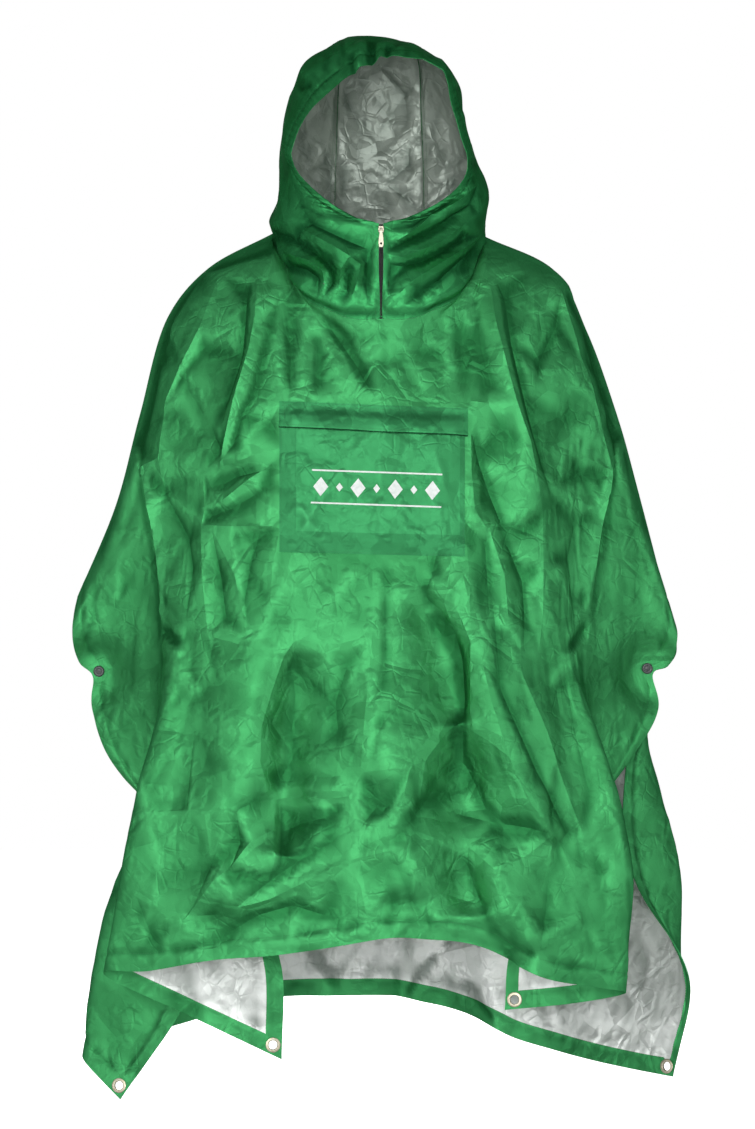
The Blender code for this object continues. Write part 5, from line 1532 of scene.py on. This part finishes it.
# The collar's folds, as crease lines: x, z and how far out.
COLLAR_RIGHT = (
    ((-6, -88, 0), (-60, -90, 0), (-110, -74, 0), (-152, -30, 0), (-168, 30, 0), (-152, 110, 0),
     (-138, 140, 0), (-122, 98, 0), (-88, 60, 0), (-45, 36, 0), (-6, 26, 0), (-6, -88, 0)),
    ((-150, 35, 1), (-127, 41, 5), (-135, 76, 3), (-138, 108, 1)),
    ((-142, 22, -4), (-118, 14, -4), (-96, 36, -4), (-108, 56, -2)),
    ((-101, 26, 6), (-82, 16, 8), (-61, 4, 8), (-42, -8, 8), (-27, -20, 6)),
    ((-96, 36, -4), (-70, 24, -3), (-44, 12, -4), (-20, 2, -2)),
    ((-118, 14, -4), (-101, 3, -5), (-93, -3, -6), (-72, -19, -7), (-66, -30, -6), (-66, -46, -5),
     (-78, -64, 0)),
    ((-130, 0, 3), (-112, -9, 7), (-93, -15, 8), (-78, -27, 5), (-76, -44, 2)),
    ((-122, -22, -4), (-102, -28, -5), (-86, -38, -5), (-84, -54, -1)),
    ((-27, -20, 6), (-32, -44, 6), (-40, -66, 1)),
    ((-42, -8, 8), (-54, -26, 4), (-56, -48, 3)),
    ((-45, -30, -4), (-46, -58, -3)),
    ((-19, -14, -4), (-20, -40, -5), (-19, -66, -1)),
    ((-104, -44, 3), (-98, -62, 0)),
)
COLLAR_LEFT = (
    ((6, -88, 0), (60, -90, 0), (112, -70, 0), (150, -20, 0), (162, 40, 0), (148, 110, 0), (134, 122, 0),
     (118, 94, 0), (88, 62, 0), (45, 34, 0), (6, 26, 0), (6, -88, 0)),
    ((20, 12, 1), (38, 22, 6), (62, 40, 9), (86, 56, 8), (112, 76, 5), (132, 90, 1)),
    ((10, 2, -2), (27, 8, -5), (58, 20, -7), (92, 42, -6), (122, 62, -4)),
    ((8, -8, 0), (28, -10, 3), (51, -1, 7), (78, 10, 8), (107, 34, 7), (130, 48, 1)),
    ((14, -20, -4), (30, -22, -6), (56, -16, -6), (84, -3, -6), (112, 16, -5)),
    ((22, -62, 2), (38, -44, 6), (57, -32, 9), (78, -18, 9), (106, 0, 6), (132, 18, 1)),
    ((30, -74, -1), (54, -56, -5), (78, -42, -5), (98, -25, -5), (120, -4, -3)),
    ((14, -20, -4), (12, -40, -5), (13, -64, -1)),
    ((70, -66, 1), (96, -48, 4), (122, -30, 1)),
)


BRIM_PUFF, BRIM_GROOVE, BRIM_GATHER = 1.6, 1.0, 0.75  # heights of its form
GROOVE = 2.6  # half the width of its seam's groove
GATHER, GATHER_AT, GATHER_WIDE = 7.5, 0.9 * BRIM, 0.8 * BRIM  # apart, about, and where they are full
SWELLS = 24  # places along the brim between which the gathers grow and shrink


def brimmed(edge_far, along, seed):
    """The gathered tunnel round the face: puffed, with small gathers across it."""
    rng = np.random.default_rng(seed)
    phase = np.cumsum(rng.uniform(0.5, 1.5, len(along)) * np.gradient(along)) / GATHER * 2 * math.pi
    swell = np.interp(along, np.linspace(along[0], along[-1], SWELLS), rng.uniform(0.35, 1.2, SWELLS))
    gathers = np.sin(phase) * swell
    gathers = gathers[:, None] if len(edge_far) == len(along) else gathers[None, :]
    push = BRIM_PUFF * np.sin(np.clip(edge_far / BRIM, 0, 1) * math.pi) * (edge_far < BRIM)
    push -= BRIM_GROOVE * np.exp(-(((edge_far - BRIM) / GROOVE) ** 2))
    return push + BRIM_GATHER * gathers * np.exp(-((edge_far - GATHER_AT) / GATHER_WIDE) ** 2)


hood = {}
for side, name, rows, creases, folds, seed in (
        (-1, "right", HOOD_RIGHT, HOOD_CREASES_RIGHT, COLLAR_RIGHT, 101),
        (1, "left", HOOD_LEFT, HOOD_CREASES_LEFT, COLLAR_LEFT, 131)):
    grid, zipped = hood_side(rows, side)
    front_far = far_from_edge(grid, 1)
    neck_far = far_from_edge(grid, 0)
    crown_far = far_from_edge(grid[::-1], 0)[::-1]
    back_far = far_from_edge(grid[:, ::-1], 1)[:, ::-1]
    hold = smooth(*NECK_HOLD, neck_far) * smooth(*SEAM_HOLD, crown_far) * smooth(*SEAM_HOLD, back_far)
    hold = hold * np.where(zipped[:, None], smooth(0, ZIP_IN, front_far), 1)
    grid, on, normals, push, row_at, col_at = drape_hood(
        grid, creases, folds, seed, SIDE_STRENGTH, hold,
        front_far > np.where(zipped, ZIP_IN, BRIM_IN)[:, None])
    push += (COLLAR_HIGH * hold * smooth(*COLLAR_RISE, neck_far) * (1 - smooth(*COLLAR_FALL, neck_far))
             * smooth(*COLLAR_FRONT, -grid[..., 1]))
    over_zip = smooth(0, 1, (np.arange(len(grid)) - zipped.sum() + 3) / 8)[:, None]
    push = push + over_zip * smooth(*CROWN_HOLD, crown_far) * brimmed(front_far, row_at, seed + 7)
    normals[zipped, 0, 0] = 0  # the two edges at the zip stay as far apart all the way
    normals = unit(normals)
    middle = grid + normals * push[..., None]
    tunnel = (front_far[:-1, :-1] < BRIM) & ~zipped[:-1, None]  # green on both its faces
    # Painted shade: the hood's sides take the darker copies of the green and the silver cloth.
    shell(f"cloth_hood_side_{name}", middle, normals, np.full(push.shape, THICK),
          flat_cloth(col_at[None, :], row_at[:, None]), crease_shade(push), np.where(tunnel, 0, 1),
          [HOOD_GREEN_SHADED, HOOD_SILVER_SHADED], [f"hood_side_{name}"], on=on)
    hood[name] = dict(grid=grid, middle=middle, normals=normals, zipped=zipped,
                      front_far=front_far)

right, left = hood["right"], hood["left"]
BRIM_PEAK = 0.55  # the brim's highest point, as a share of the way from right to left
NAPE_ROWS = 12  # that turn towards the back's neck seam


def crown():
    """The strip over the head, from the brim back and down to the nape."""
    edges, edge_n = [], []
    for part in (right, left):
        grid, out = part["grid"], part["normals"]
        edges.append(np.concatenate([grid[-1], grid[-2::-1, -1]]))
        edge_n.append(np.concatenate([out[-1], out[-2::-1, -1]]))
    a, b = edges
    cols = np.linspace(0, 1, CROWN_CELLS + 1)
    grid = a[:, None] * (1 - cols)[None, :, None] + b[:, None] * cols[None, :, None]
    out = normals_of(grid, HEAD)
    grid = grid + out * (CROWN_RISE * (1 - (2 * cols - 1) ** 2))[None, :, None]
    brim = through((0, BRIM_PEAK, 1), (a[0], real(BRIM_TOP), b[0]), cols)
    top_rows = len(right["grid"][-1]) - 1  # over the head, before the strip turns down
    near = np.clip(1 - np.arange(len(grid)) / (top_rows / 3), 0, 1)[:, None, None]
    grid = grid + near * (brim - grid[0])[None]
    # The nape end meets the back's neck seam.
    stops = np.linspace(-NAPE_IN, NAPE_IN, CROWN_CELLS + 1)
    nape = np.concatenate([neck_ring(-1, [(BACK, -d) for d in stops if d < 0]),
                           neck_ring(1, [(BACK, d) for d in stops if d >= 0])])
    last = np.arange(len(grid)) - len(grid) + NAPE_ROWS
    last = smooth(0, 1, last / (NAPE_ROWS - 1))[:, None, None]
    grid = grid + last * (nape + (0, 0, GAP) - grid[-1])[None]
    out = normals_of(grid, HEAD)
    for col, edge, n in ((0, a, edge_n[0]), (-1, b, edge_n[1])):
        out[:, col] = n
        way = unit(np.cross(n, np.gradient(edge, axis=0)))
        inner = grid[:, 1 if col == 0 else -2] - edge
        way *= np.sign((way * inner).sum(axis=1, keepdims=True))
        grid[:, col] = edge + way * GAP
    return grid, unit(out)


# The gathers and folds at the brim's middle, as the hood's other folds are given.
HOOD_CREASES_TOP = (
    (-58, 258, -50, 222, 4.4, 6, 0),
    (-40, 266, -34, 228, -4.6, 6, 0),
    (-24, 284, -28, 236, 5.6, 6, 0),
    (-12, 282, -14, 244, -5.0, 5, 0),
    (-2, 280, 0, 248, 5.4, 5, 0),
    (10, 276, 6, 250, -4.2, 5, 0),
    (26, 276, 30, 262, 2.0, 6, 0),
    (-70, 268, 30, 282, 2.6, 9, 0),
)
SIDE_IN = 5  # no point nearer to its seams moves onto a crease
grid, normals = crown()
brim_far = far_from_edge(grid, 0)
nape_far = far_from_edge(grid[::-1], 0)[::-1]
side_far = np.minimum(far_from_edge(grid, 1), far_from_edge(grid[:, ::-1], 1)[:, ::-1])
hold = smooth(*NECK_HOLD, nape_far) * smooth(*CROWN_HOLD, side_far)
grid, on, _, push, row_at, col_at = drape_hood(
    grid, HOOD_CREASES_TOP, (), 171, CROWN_STRENGTH, hold,
    (brim_far > BRIM_IN) & (side_far > SIDE_IN))
push = push + smooth(*CROWN_HOLD, side_far) * brimmed(brim_far, col_at, 177)
middle = grid + normals * push[..., None]
# Both sides run on under the hood's sides, as their seams' allowance.
ALLOWANCE, UNDER_GAP = 2.5, 0.25  # its width, and how far it lies under them
ALLOWANCE_CELL = 0.8  # and its width as a share of a cell of theirs
under = []
for part, col in ((right, 0), (left, -1)):
    side_at, out = part["middle"], part["normals"]
    edge, in_by, n = (np.concatenate([f[-k], f[-2::-1, -k]])
                      for f, k in ((side_at, 1), (side_at, 2), (out, 1)))
    under.append((edge + (in_by - edge) * ALLOWANCE_CELL - n * (THICK + UNDER_GAP), n))
middle, normals = (np.stack([under[0][k], *np.moveaxis(f, 1, 0), under[1][k]], axis=1)
                   for k, f in enumerate((middle, normals)))
push, on, brim_far = (np.pad(f, ((0, 0), (1, 1)), "edge") for f in (push, on, brim_far))
on[:, :2] = on[:, -2:] = False
col_at = np.concatenate([[col_at[0] - ALLOWANCE], col_at, [col_at[-1] + ALLOWANCE]])
# Painted shade: the crown takes the darker copies of the green and the silver cloth.
shell("cloth_hood_crown", middle, normals, np.full(push.shape, THICK),
      flat_cloth(col_at[None, :], row_at[:, None]), crease_shade(push),
      np.where(brim_far[:-1, :-1] < BRIM, 0, 1),
      [HOOD_GREEN_SHADED, HOOD_SILVER_SHADED], ["hood_crown"], on=on)

# Rows of stitching on the hood: beside the zip, the brim's tunnel and the seams.
ZIP_SEAM = 7.5  # from the hood's front edge
rows = []
for part in (right, left):
    middle, high = part["middle"], int(part["zipped"].sum())
    for way in (1, -1):
        up = part["normals"] * way
        face = middle + up * (THICK / 2)
        for lines, seam in ((np.arange(high), ZIP_SEAM), (np.arange(high, len(middle)), BRIM)):
            near = np.abs(part["front_far"][lines] - seam).argmin(axis=1)
            rows.append(stitches(face[lines, near], up[lines, near]))
        for inset in (1, 3):
            rows.append(stitches(*(
                np.concatenate([f[-1 - inset, :-1], f[-1 - inset:2:-1, -1 - inset]])
                for f in (face, up))))
sewn("hood_stitching", rows)

# ---------------------------------------------------------------- zip

zip_line = right["grid"][right["zipped"], 0]


def on_zip(height):
    """The zip's y at a height."""
    return np.interp(height, zip_line[:, 2], zip_line[:, 1])


def spokes(axis, sides):
    """Unit vectors round an axis, or round each of several."""
    ref = np.array((0.0, 0.0, 1.0)) if abs(np.ravel(axis)[2]) < 0.9 else np.array((1.0, 0.0, 0.0))
    a = unit(np.cross(axis, ref))
    b = np.cross(axis, a)
    turn = np.arange(sides)[:, None] * 2 * math.pi / sides
    return a[..., None, :] * np.cos(turn) + b[..., None, :] * np.sin(turn)


def tube(path, radius, sides):
    """Points and faces of a round tube along a path."""
    path = np.asarray(path, float)
    ring = spokes(unit(np.gradient(path, axis=0)), sides)
    points = (path[:, None] + ring * radius).reshape(-1, 3)
    faces = []
    for k in range(len(path) - 1):
        for i in range(sides):
            j = (i + 1) % sides
            faces.append((k * sides + i, k * sides + j, (k + 1) * sides + j, (k + 1) * sides + i))
    faces.append(tuple(range(sides - 1, -1, -1)))
    faces.append(tuple(range((len(path) - 1) * sides, len(path) * sides)))
    return points, faces


TOOTH_PITCH = 1.5  # of the teeth on one side
TOOTH_WIRE = 0.33  # radius of the wire that each tooth is a loop of
TOOTH = ((1.9, -0.2, -0.45), (0.4, -1.0, -0.3), (-0.5, -1.15, 0), (0.4, -1.0, 0.3), (1.9, -0.2, 0.45))
tape_low, tape_high = zip_line[0][2] + 3, zip_line[-1][2] - 1
teeth = []
height, side = tape_low + 1, 1
while height < tape_high - 1:
    loop = [(side * x, on_zip(height) + y, height + z) for x, y, z in TOOTH]
    teeth.append(tube(loop, TOOTH_WIRE, 6))
    height += TOOTH_PITCH / 2
    side = -side
solid_mesh("zip_teeth", *joined(teeth), [BLACK], "zip_black", angle=60)

TAPE_COLS, TAPE_THICK = (-2.6, -0.9, 0.9, 2.6), 0.6
TAPE_BACK = 0.15  # behind the teeth's line
levels = np.linspace(tape_low, tape_high, 50)
tape = np.array([[(x, on_zip(h) + TAPE_BACK, h) for x in TAPE_COLS] for h in levels])
plain_sheet = np.zeros(tape.shape[:2])  # it has no creases
shell("zip_tape", tape, plain_sheet[..., None] + (0, -1, 0), plain_sheet + TAPE_THICK,
      tape[..., [0, 2]], plain_sheet, np.zeros((len(levels) - 1, 3), int), [TAPE],
      ["zip_chain"])


def coloured(name, mat):
    """Gives a CAD node that stays as it is another material."""
    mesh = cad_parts[name].data
    for k in range(len(mesh.materials)):
        mesh.materials[k] = mat
    return mesh


for name in ("zip_slider", "zip_pull"):
    mesh = coloured(name, PULL)
    mesh.shade_smooth()
    mesh.set_sharp_from_angle(angle=math.radians(30))

# ---------------------------------------------------------------- pocket

POCKET = dict(sides=(-137, 113), top=(-222, -232), hem=(-408, -414))
FLAP = dict(sides=(-137, 117), top=(-204, -214), hem=(-240, -252))
POCKET_THICK, FLAP_THICK = 0.8, 0.9
SEAM_BAND = 20.0  # the pocket's turned edge
DOUBLE_RIGHT, DOUBLE_LEFT, DOUBLE_LOW = 21, 9, 30  # where its cloth is double, from its edges
SLACK, SLACK_FROM = 1.4, (2, 40)  # how far it stands off the chest, growing from its edges
MOUTH_FLAT, MOUTH_FROM = 0.3, (6, 60)  # share of its form that is left under the flap
POCKET_FACETS = ((52, 1.2, 2, 1.0), (22, 1.0, 1, 0.4))  # spacing, stretch, softening and height
POCKET_SHORT, SHORT_SHARE = (60, (25, 90), (0.2, 0.9), (2, 5), (60, 50)), 0.5
FLAP_CLIMB, FLAP_SWELL = (1, 19), (6, 36)  # below its seam: where it rises, and puffs out
FLAP_PUFF, FLAP_WAVE, FLAP_CORNER = 2.4, 0.7, (0, 20)
FLAP_WAVES = 12  # places along it between which it waves
FLAP_FACETS = (30, 0.5)  # spacing and height
TURN_PUFF = 0.25  # how far the pocket's turned edge stands out
LOOK_UNDER, LOOK_OUT = 0.5, 12  # the pocket is looked for from under the chest's face


def tree_of(grid):
    """A BVH of a grid of points, in millimetres."""
    rows, cols = grid.shape[:2]
    number = np.arange(rows * cols).reshape(rows, cols)
    quads = np.stack([number[:-1, :-1], number[:-1, 1:], number[1:, 1:], number[1:, :-1]], axis=-1)
    return BVHTree.FromPolygons([Vector(p) for p in grid.reshape(-1, 3)], quads.reshape(-1, 4).tolist())


EYE = Vector((0, -VIEW_FROM, VIEW_LEVEL))  # of the front view


def on_surface(tree, x, z):
    """Where the front view's points x, z lie on a surface, and its normals there."""
    points, normals = np.empty(x.shape + (3,)), np.empty(x.shape + (3,))
    for k in np.ndindex(x.shape):
        way = (Vector((x[k], 0, z[k])) - EYE).normalized()
        at, n, _, _ = tree.ray_cast(EYE, way)
        points[k] = at
        normals[k] = n if n.y < 0 else -n
    return points, normals


def patch(spec, rows, cols):
    """A grid over the chest between a patch's four edges."""
    u, v = np.linspace(0, 1, cols), np.linspace(0, 1, rows)
    x, top, low = (a + (b - a) * u for a, b in (spec["sides"], spec["top"], spec["hem"]))
    z = top[None, :] * (1 - v)[:, None] + low[None, :] * v[:, None]
    return np.broadcast_to(x[None, :], z.shape), z


chest = tree_of(front.outer)
px, pz = patch(POCKET, 84, 112)
at, n = on_surface(chest, px, pz)
n = unit(softened(n, 6))
from_right, from_left = px - POCKET["sides"][0], POCKET["sides"][1] - px
from_low = pz - pz[-1:]
from_edge = np.minimum(np.minimum(from_right, from_left), from_low)
cols_at, rows_at = px[0] - px[0, 0], pz[0, 0] - pz[:, 0]
slack = smooth(*SLACK_FROM, from_edge)
push = sum(softened(facets(rows_at, cols_at, spacing, seed, stretch), times) * high
           for seed, (spacing, stretch, times, high) in enumerate(POCKET_FACETS, 301))
push = slack * (push + SHORT_SHARE * scattered(rows_at, cols_at, *POCKET_SHORT, 303) + SLACK)
POCKET_CREASES = (
    (-60, -300, -118, -398, 1.6, 6, 0),
    (98, -250, 112, -330, 1.6, 6, 0),
    (-128, -262, -40, -300, -1.2, 6, 0),
    (70, -262, 106, -380, 1.6, 7, 0),
    (-120, -330, -60, -405, 1.6, 6, 4),
    (0, -245, -2, -405, 0.7, 4, 0),
)
push += slack * creased(px, pz, POCKET_CREASES, 8)
push += TURN_PUFF * (1 - smooth(SEAM_BAND - 1, SEAM_BAND + 1, from_edge))
push *= MOUTH_FLAT + (1 - MOUTH_FLAT) * smooth(*MOUTH_FROM, pz[:1] - pz)
off = GAP + POCKET_THICK / 2 + np.maximum(push, 0)
pocket_middle = at + n * off[..., None]
doubled = ((from_right < DOUBLE_RIGHT) | (from_left < DOUBLE_LEFT) | (from_low < DOUBLE_LOW))[:-1, :-1]
shell("cloth_pocket", pocket_middle, n, np.full(px.shape, POCKET_THICK), flat_cloth(px, pz),
      crease_shade(push), np.ones(doubled.shape, int), [POCKET_GREEN, SILVER, DOUBLE_GREEN],
      ["pocket"], outside=np.where(doubled, 2, 0))
pocket_face = pocket_middle + n * (POCKET_THICK / 2)

# The flap lies on the chest above the pocket, climbs its top edge and covers it.
fx, fz = patch(FLAP, 26, 112)
pocket_tree = tree_of(pocket_face)
at, n = on_surface(chest, fx, fz)
n = unit(softened(n, 8))
lift = np.zeros(fx.shape)
for k in np.ndindex(fx.shape):
    hit = pocket_tree.ray_cast(Vector(at[k] - n[k] * LOOK_UNDER), Vector(n[k]), LOOK_OUT)
    if hit[0] is not None:
        lift[k] = hit[3] - LOOK_UNDER
deep = fz[:1] - fz
lift = np.maximum(lift, 0)
climb = smooth(*FLAP_CLIMB, deep)
high = lift.copy()
for up in range(1, 4):  # full height is reached above the pocket's top edge
    high[:-up] = np.maximum(high[:-up], lift[up:])
lift = np.maximum(softened(high, 7), lift) * (deep > 2)
rng = np.random.default_rng(311)
wave = np.interp(fx[0], np.linspace(fx[0, 0], fx[0, -1], FLAP_WAVES),
                 rng.uniform(0.5, 2.2, FLAP_WAVES))
corner = smooth(*FLAP_CORNER, np.minimum(fx - FLAP["sides"][0], FLAP["sides"][1] - fx))
push = climb * (1.0 + FLAP_WAVE * wave[None, :] * smooth(8, 30, deep) * corner)
push += FLAP_PUFF * smooth(*FLAP_SWELL, deep) * corner
cols_at, rows_at = fx[0] - fx[0, 0], deep[:, 0]
push += corner * climb * (softened(facets(rows_at, cols_at, FLAP_FACETS[0], 312)) * FLAP_FACETS[1])
off = GAP + 0.5 + lift + np.maximum(push, 0)
flap_middle = at + n * off[..., None]
shadow_row = np.zeros((fx.shape[0] - 1, fx.shape[1] - 1), int)
shadow_row[-1:] = 1  # painted shadow: near-black, for the shade in the gap under the flap's lower edge
shell("cloth_pocket_flap", flap_middle, n, np.full(fx.shape, FLAP_THICK), flat_cloth(fx, fz),
      crease_shade(push), np.ones(shadow_row.shape, int), [POCKET_GREEN, FLAP_SHADOW_GREEN],
      ["pocket_flap"], outside=shadow_row)

# Stitching one cell in from the pocket's edges, twice along the flap's top and round it.
flap_face = flap_middle + n * (FLAP_THICK / 2)
rows = [stitches(pocket_face[seam], np.broadcast_to(n[0, 0], pocket_face[seam].shape))
        for seam in (np.s_[:, 1], np.s_[:, -2], np.s_[-2, 1:-1])]
rows += [stitches(flap_face[seam], n[seam])
         for seam in (np.s_[1, 1:-1], np.s_[4, 1:-1], np.s_[-4, 3:-3], np.s_[4:-3, 3], np.s_[4:-3, -4])]
sewn("pocket_stitching", rows)

# ---------------------------------------------------------------- print

# A plain band in white: a row of diamonds between two thin lines.
PRINT_AT = (-6, -322)  # its centre, x and z
PRINT_SLANT = math.radians(-2.0)
PRINT_WIDE = 176.0
LINE_OFF, LINE_WIDE = 22, 2.2  # its lines, from the centre
DIAMONDS = 7
DIAMOND_TALL, DIAMOND_SHAPE = (26, 12), 0.78  # large and small by turns, and width by height
PRINT_LIFT, PRINT_THICK = 0.12, 0.1


def printed(u, v):
    """A grid of the print's own places, laid on the pocket, as points and faces."""
    x = PRINT_AT[0] + u * math.cos(PRINT_SLANT) - v * math.sin(PRINT_SLANT)
    z = PRINT_AT[1] + u * math.sin(PRINT_SLANT) + v * math.cos(PRINT_SLANT)
    at, n = on_surface(pocket_tree, x, z)
    rows, cols = u.shape
    low, high = at + n * PRINT_LIFT, at + n * (PRINT_LIFT + PRINT_THICK)
    points = np.concatenate([high.reshape(-1, 3), low.reshape(-1, 3)])
    size, faces = rows * cols, []
    for r in range(rows - 1):
        for c in range(cols - 1):
            a, b, d, e = r * cols + c, r * cols + c + 1, (r + 1) * cols + c, (r + 1) * cols + c + 1
            faces += [(a, d, e, b), (a + size, b + size, e + size, d + size)]
    ring = ([(0, c) for c in range(cols)] + [(r, cols - 1) for r in range(1, rows)]
            + [(rows - 1, c) for c in range(cols - 2, -1, -1)] + [(r, 0) for r in range(rows - 2, 0, -1)])
    for (r1, c1), (r2, c2) in zip(ring, ring[1:] + ring[:1]):
        a, b = r1 * cols + c1, r2 * cols + c2
        faces.append((a, b, b + size, a + size))
    return points, faces


def bar(height, thick, wide):
    """A straight line of the print at a height."""
    u, v = np.meshgrid(np.linspace(-wide / 2, wide / 2, 90),
                       np.linspace(height + thick / 2, height - thick / 2, 3))
    return printed(u, v)


def diamond(cx, cy, wide, tall):
    """A diamond of the print at cx, cy."""
    s, t = np.meshgrid(np.linspace(-1, 1, 13), np.linspace(1, -1, 13))
    return printed(cx + (s + t) * wide / 4, cy + (t - s) * tall / 4)


marks = [bar(side * LINE_OFF, LINE_WIDE, PRINT_WIDE) for side in (1, -1)]
for k in range(DIAMONDS):
    across = (k - (DIAMONDS - 1) / 2) * PRINT_WIDE / DIAMONDS
    tall = DIAMOND_TALL[k % 2]
    marks.append(diamond(across, 0, tall * DIAMOND_SHAPE, tall))
solid_mesh("pocket_print", *joined(marks), [PRINT], "green_nylon", angle=50)

# ---------------------------------------------------------------- eyelets, snaps

def turned(name, profile, centre, axis, sides, mat, slot, node_name):
    """A round piece: (radius, height) points turned about an axis.

    A profile that starts off the axis is a ring: its two ends are joined.
    """
    ring = np.array(profile, float)
    points = centre + spokes(axis, sides)[:, None] * ring[None, :, :1] + axis * ring[None, :, 1:]
    n = len(ring)
    faces = []
    for k in range(sides):
        j = (k + 1) % sides
        for i in range(n if ring[0, 0] > 0 else n - 1):
            i2 = (i + 1) % n
            faces.append((k * n + i, k * n + i2, j * n + i2, j * n + i))
    solid_mesh(name, points.reshape(-1, 3), faces, [mat], slot, [node_name], angle=40)


def arc(centre, radius, start, end, count):
    """Points of an arc in (radius, height), angles in degrees from outward."""
    return [(centre[0] + radius * math.cos(math.radians(t)), centre[1] + radius * math.sin(math.radians(t)))
            for t in np.linspace(start, end, count)]


def eyelet_profile():
    """A rolled barrel and two flanges that grip the cloth."""
    outer, inner, grip = 10.0, 5.8, 1.3
    front = ([(inner + 0.25, -0.2)] + arc((inner + 1.1, grip + 0.1), 1.1, 180, 90, 6)
             + [(8.4, grip + 1.0)] + arc((outer - 0.5, grip + 0.35), 0.5, 80, -60, 5))
    front += [(8.6, grip - 0.35), (7.3, grip - 0.45)]
    return front + [(r, -h) for r, h in reversed(front)]


for corner in ("front_right", "front_left", "back_right", "back_left"):
    centre, axis = disc_frame(f"eyelet_{corner}")
    turned(f"brass_eyelet_{corner}", eyelet_profile(), centre, axis, 40, BRASS, "eyelet_brass",
           f"eyelet_{corner}")

# Outlines of a snap's two outer parts: radius and height.
CAP = [(0.0, 0.55), (1.6, 0.5), (2.3, 0.15), (3.2, 0.15), (3.9, 0.75), (5.6, 0.85), (6.7, 0.55),
       (7.35, -0.1), (7.5, -0.8), (7.2, -1.15), (0.0, -1.15)]
POST = [(0.0, -0.5), (2.6, -0.5), (2.9, 0.6), (3.6, 0.95), (5.4, 0.9), (6.6, 0.5), (7.4, -0.2),
        (7.5, -0.8), (7.2, -1.15), (0.0, -1.15)]
for side in ("right", "left"):
    middle, _ = disc_frame(f"snap_stud_{side}")
    for kind, profile in (("cap", CAP), ("post", POST)):
        centre, axis = disc_frame(f"snap_{kind}_{side}")
        away = axis if axis @ (centre - middle) > 0 else -axis
        turned(f"snap_button_{kind}_{side}", profile, centre, away, 32, SNAP, "snap_grey",
               f"snap_{kind}_{side}")
    coloured(f"snap_stud_{side}", SNAP)

# ---------------------------------------------------------------- stage, lights, camera

FLOOR = -1.5  # metres: a wearer's base of the neck is this far above it
FLOOR_RADIUS, FLOOR_SIDES = 9.0, 96
FLOOR_GLOW = 0.92  # what makes it as white as the room behind it


def to_eye(tree):
    """1 for what the camera sees itself, and 0 for light on its way to the cloth."""
    return node(tree, "ShaderNodeLightPath").outputs["Is Camera Ray"]


def floor():
    """A round floor of white paper, which doesn't light the cloth more than paper does."""
    turn = np.arange(FLOOR_SIDES) * 2 * math.pi / FLOOR_SIDES
    points = [(FLOOR_RADIUS * math.cos(t), FLOOR_RADIUS * math.sin(t), FLOOR) for t in turn]
    mesh = bpy.data.meshes.new("floor")
    mesh.from_pydata(points, [], [tuple(range(FLOOR_SIDES))])
    mat, tree, shader = plain("floor_paper")
    feed(tree, shader, Base_Color=(0.85, 0.85, 0.85), Roughness=0.9, Emission_Color=(1, 1, 1),
         Emission_Strength=maths(tree, "MULTIPLY", to_eye(tree), FLOOR_GLOW))
    mesh.materials.append(mat)
    ob = bpy.data.objects.new("floor", mesh)
    bpy.context.scene.collection.objects.link(ob)
    ob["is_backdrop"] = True


def area_light(name, place, target, size, power):
    """A rectangular light of a size in metres and a power in watts."""
    data = bpy.data.lights.new(name, "AREA")
    data.shape, data.size, data.size_y, data.energy = "RECTANGLE", *size, power
    ob = bpy.data.objects.new(name, data)
    ob.location = place
    ob.rotation_euler = (Vector(target) - Vector(place)).to_track_quat("-Z", "Y").to_euler()
    bpy.context.scene.collection.objects.link(ob)


floor()
area_light("key", (-0.5, -4.6, 0.1), (0, 0, -0.55), (1.9, 1.9), 114)
area_light("fill", (3.2, -3.2, -0.3), (0, 0, -0.5), (1.4, 2.0), 36)
area_light("fill_right", (-3.4, -3.0, -0.3), (0, 0, -0.5), (1.4, 2.0), 24)
area_light("behind", (0, 4.6, -0.2), (0, 0, -0.5), (1.6, 1.6), 85)

# The room is white to the eye, and lights the cloth only a little.
world = bpy.data.worlds.new("studio")
world.use_nodes = True
tree = world.node_tree
glow = feed(tree, tree.nodes["Background"], Color=(0.9, 0.93, 0.95), Strength=0.22)
paper = node(tree, "ShaderNodeBackground", Color=(1, 1, 1), Strength=1.0)
chosen = node(tree, "ShaderNodeMixShader", to_eye(tree), glow.outputs[0], paper.outputs[0])
feed(tree, tree.nodes["World Output"], Surface=chosen.outputs[0])
bpy.context.scene.world = world
bpy.context.scene.view_settings.view_transform = "Standard"

camera = bpy.data.cameras.new("camera")
camera.sensor_fit, camera.sensor_height, camera.lens = "VERTICAL", 24.0, 78.73
eye = bpy.data.objects.new("camera", camera)
eye.location = (-0.0047, -5.0, -0.4246)
eye.rotation_euler = (math.radians(90), 0, 0)
bpy.context.scene.collection.objects.link(eye)
bpy.context.scene.camera = eye

low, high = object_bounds()
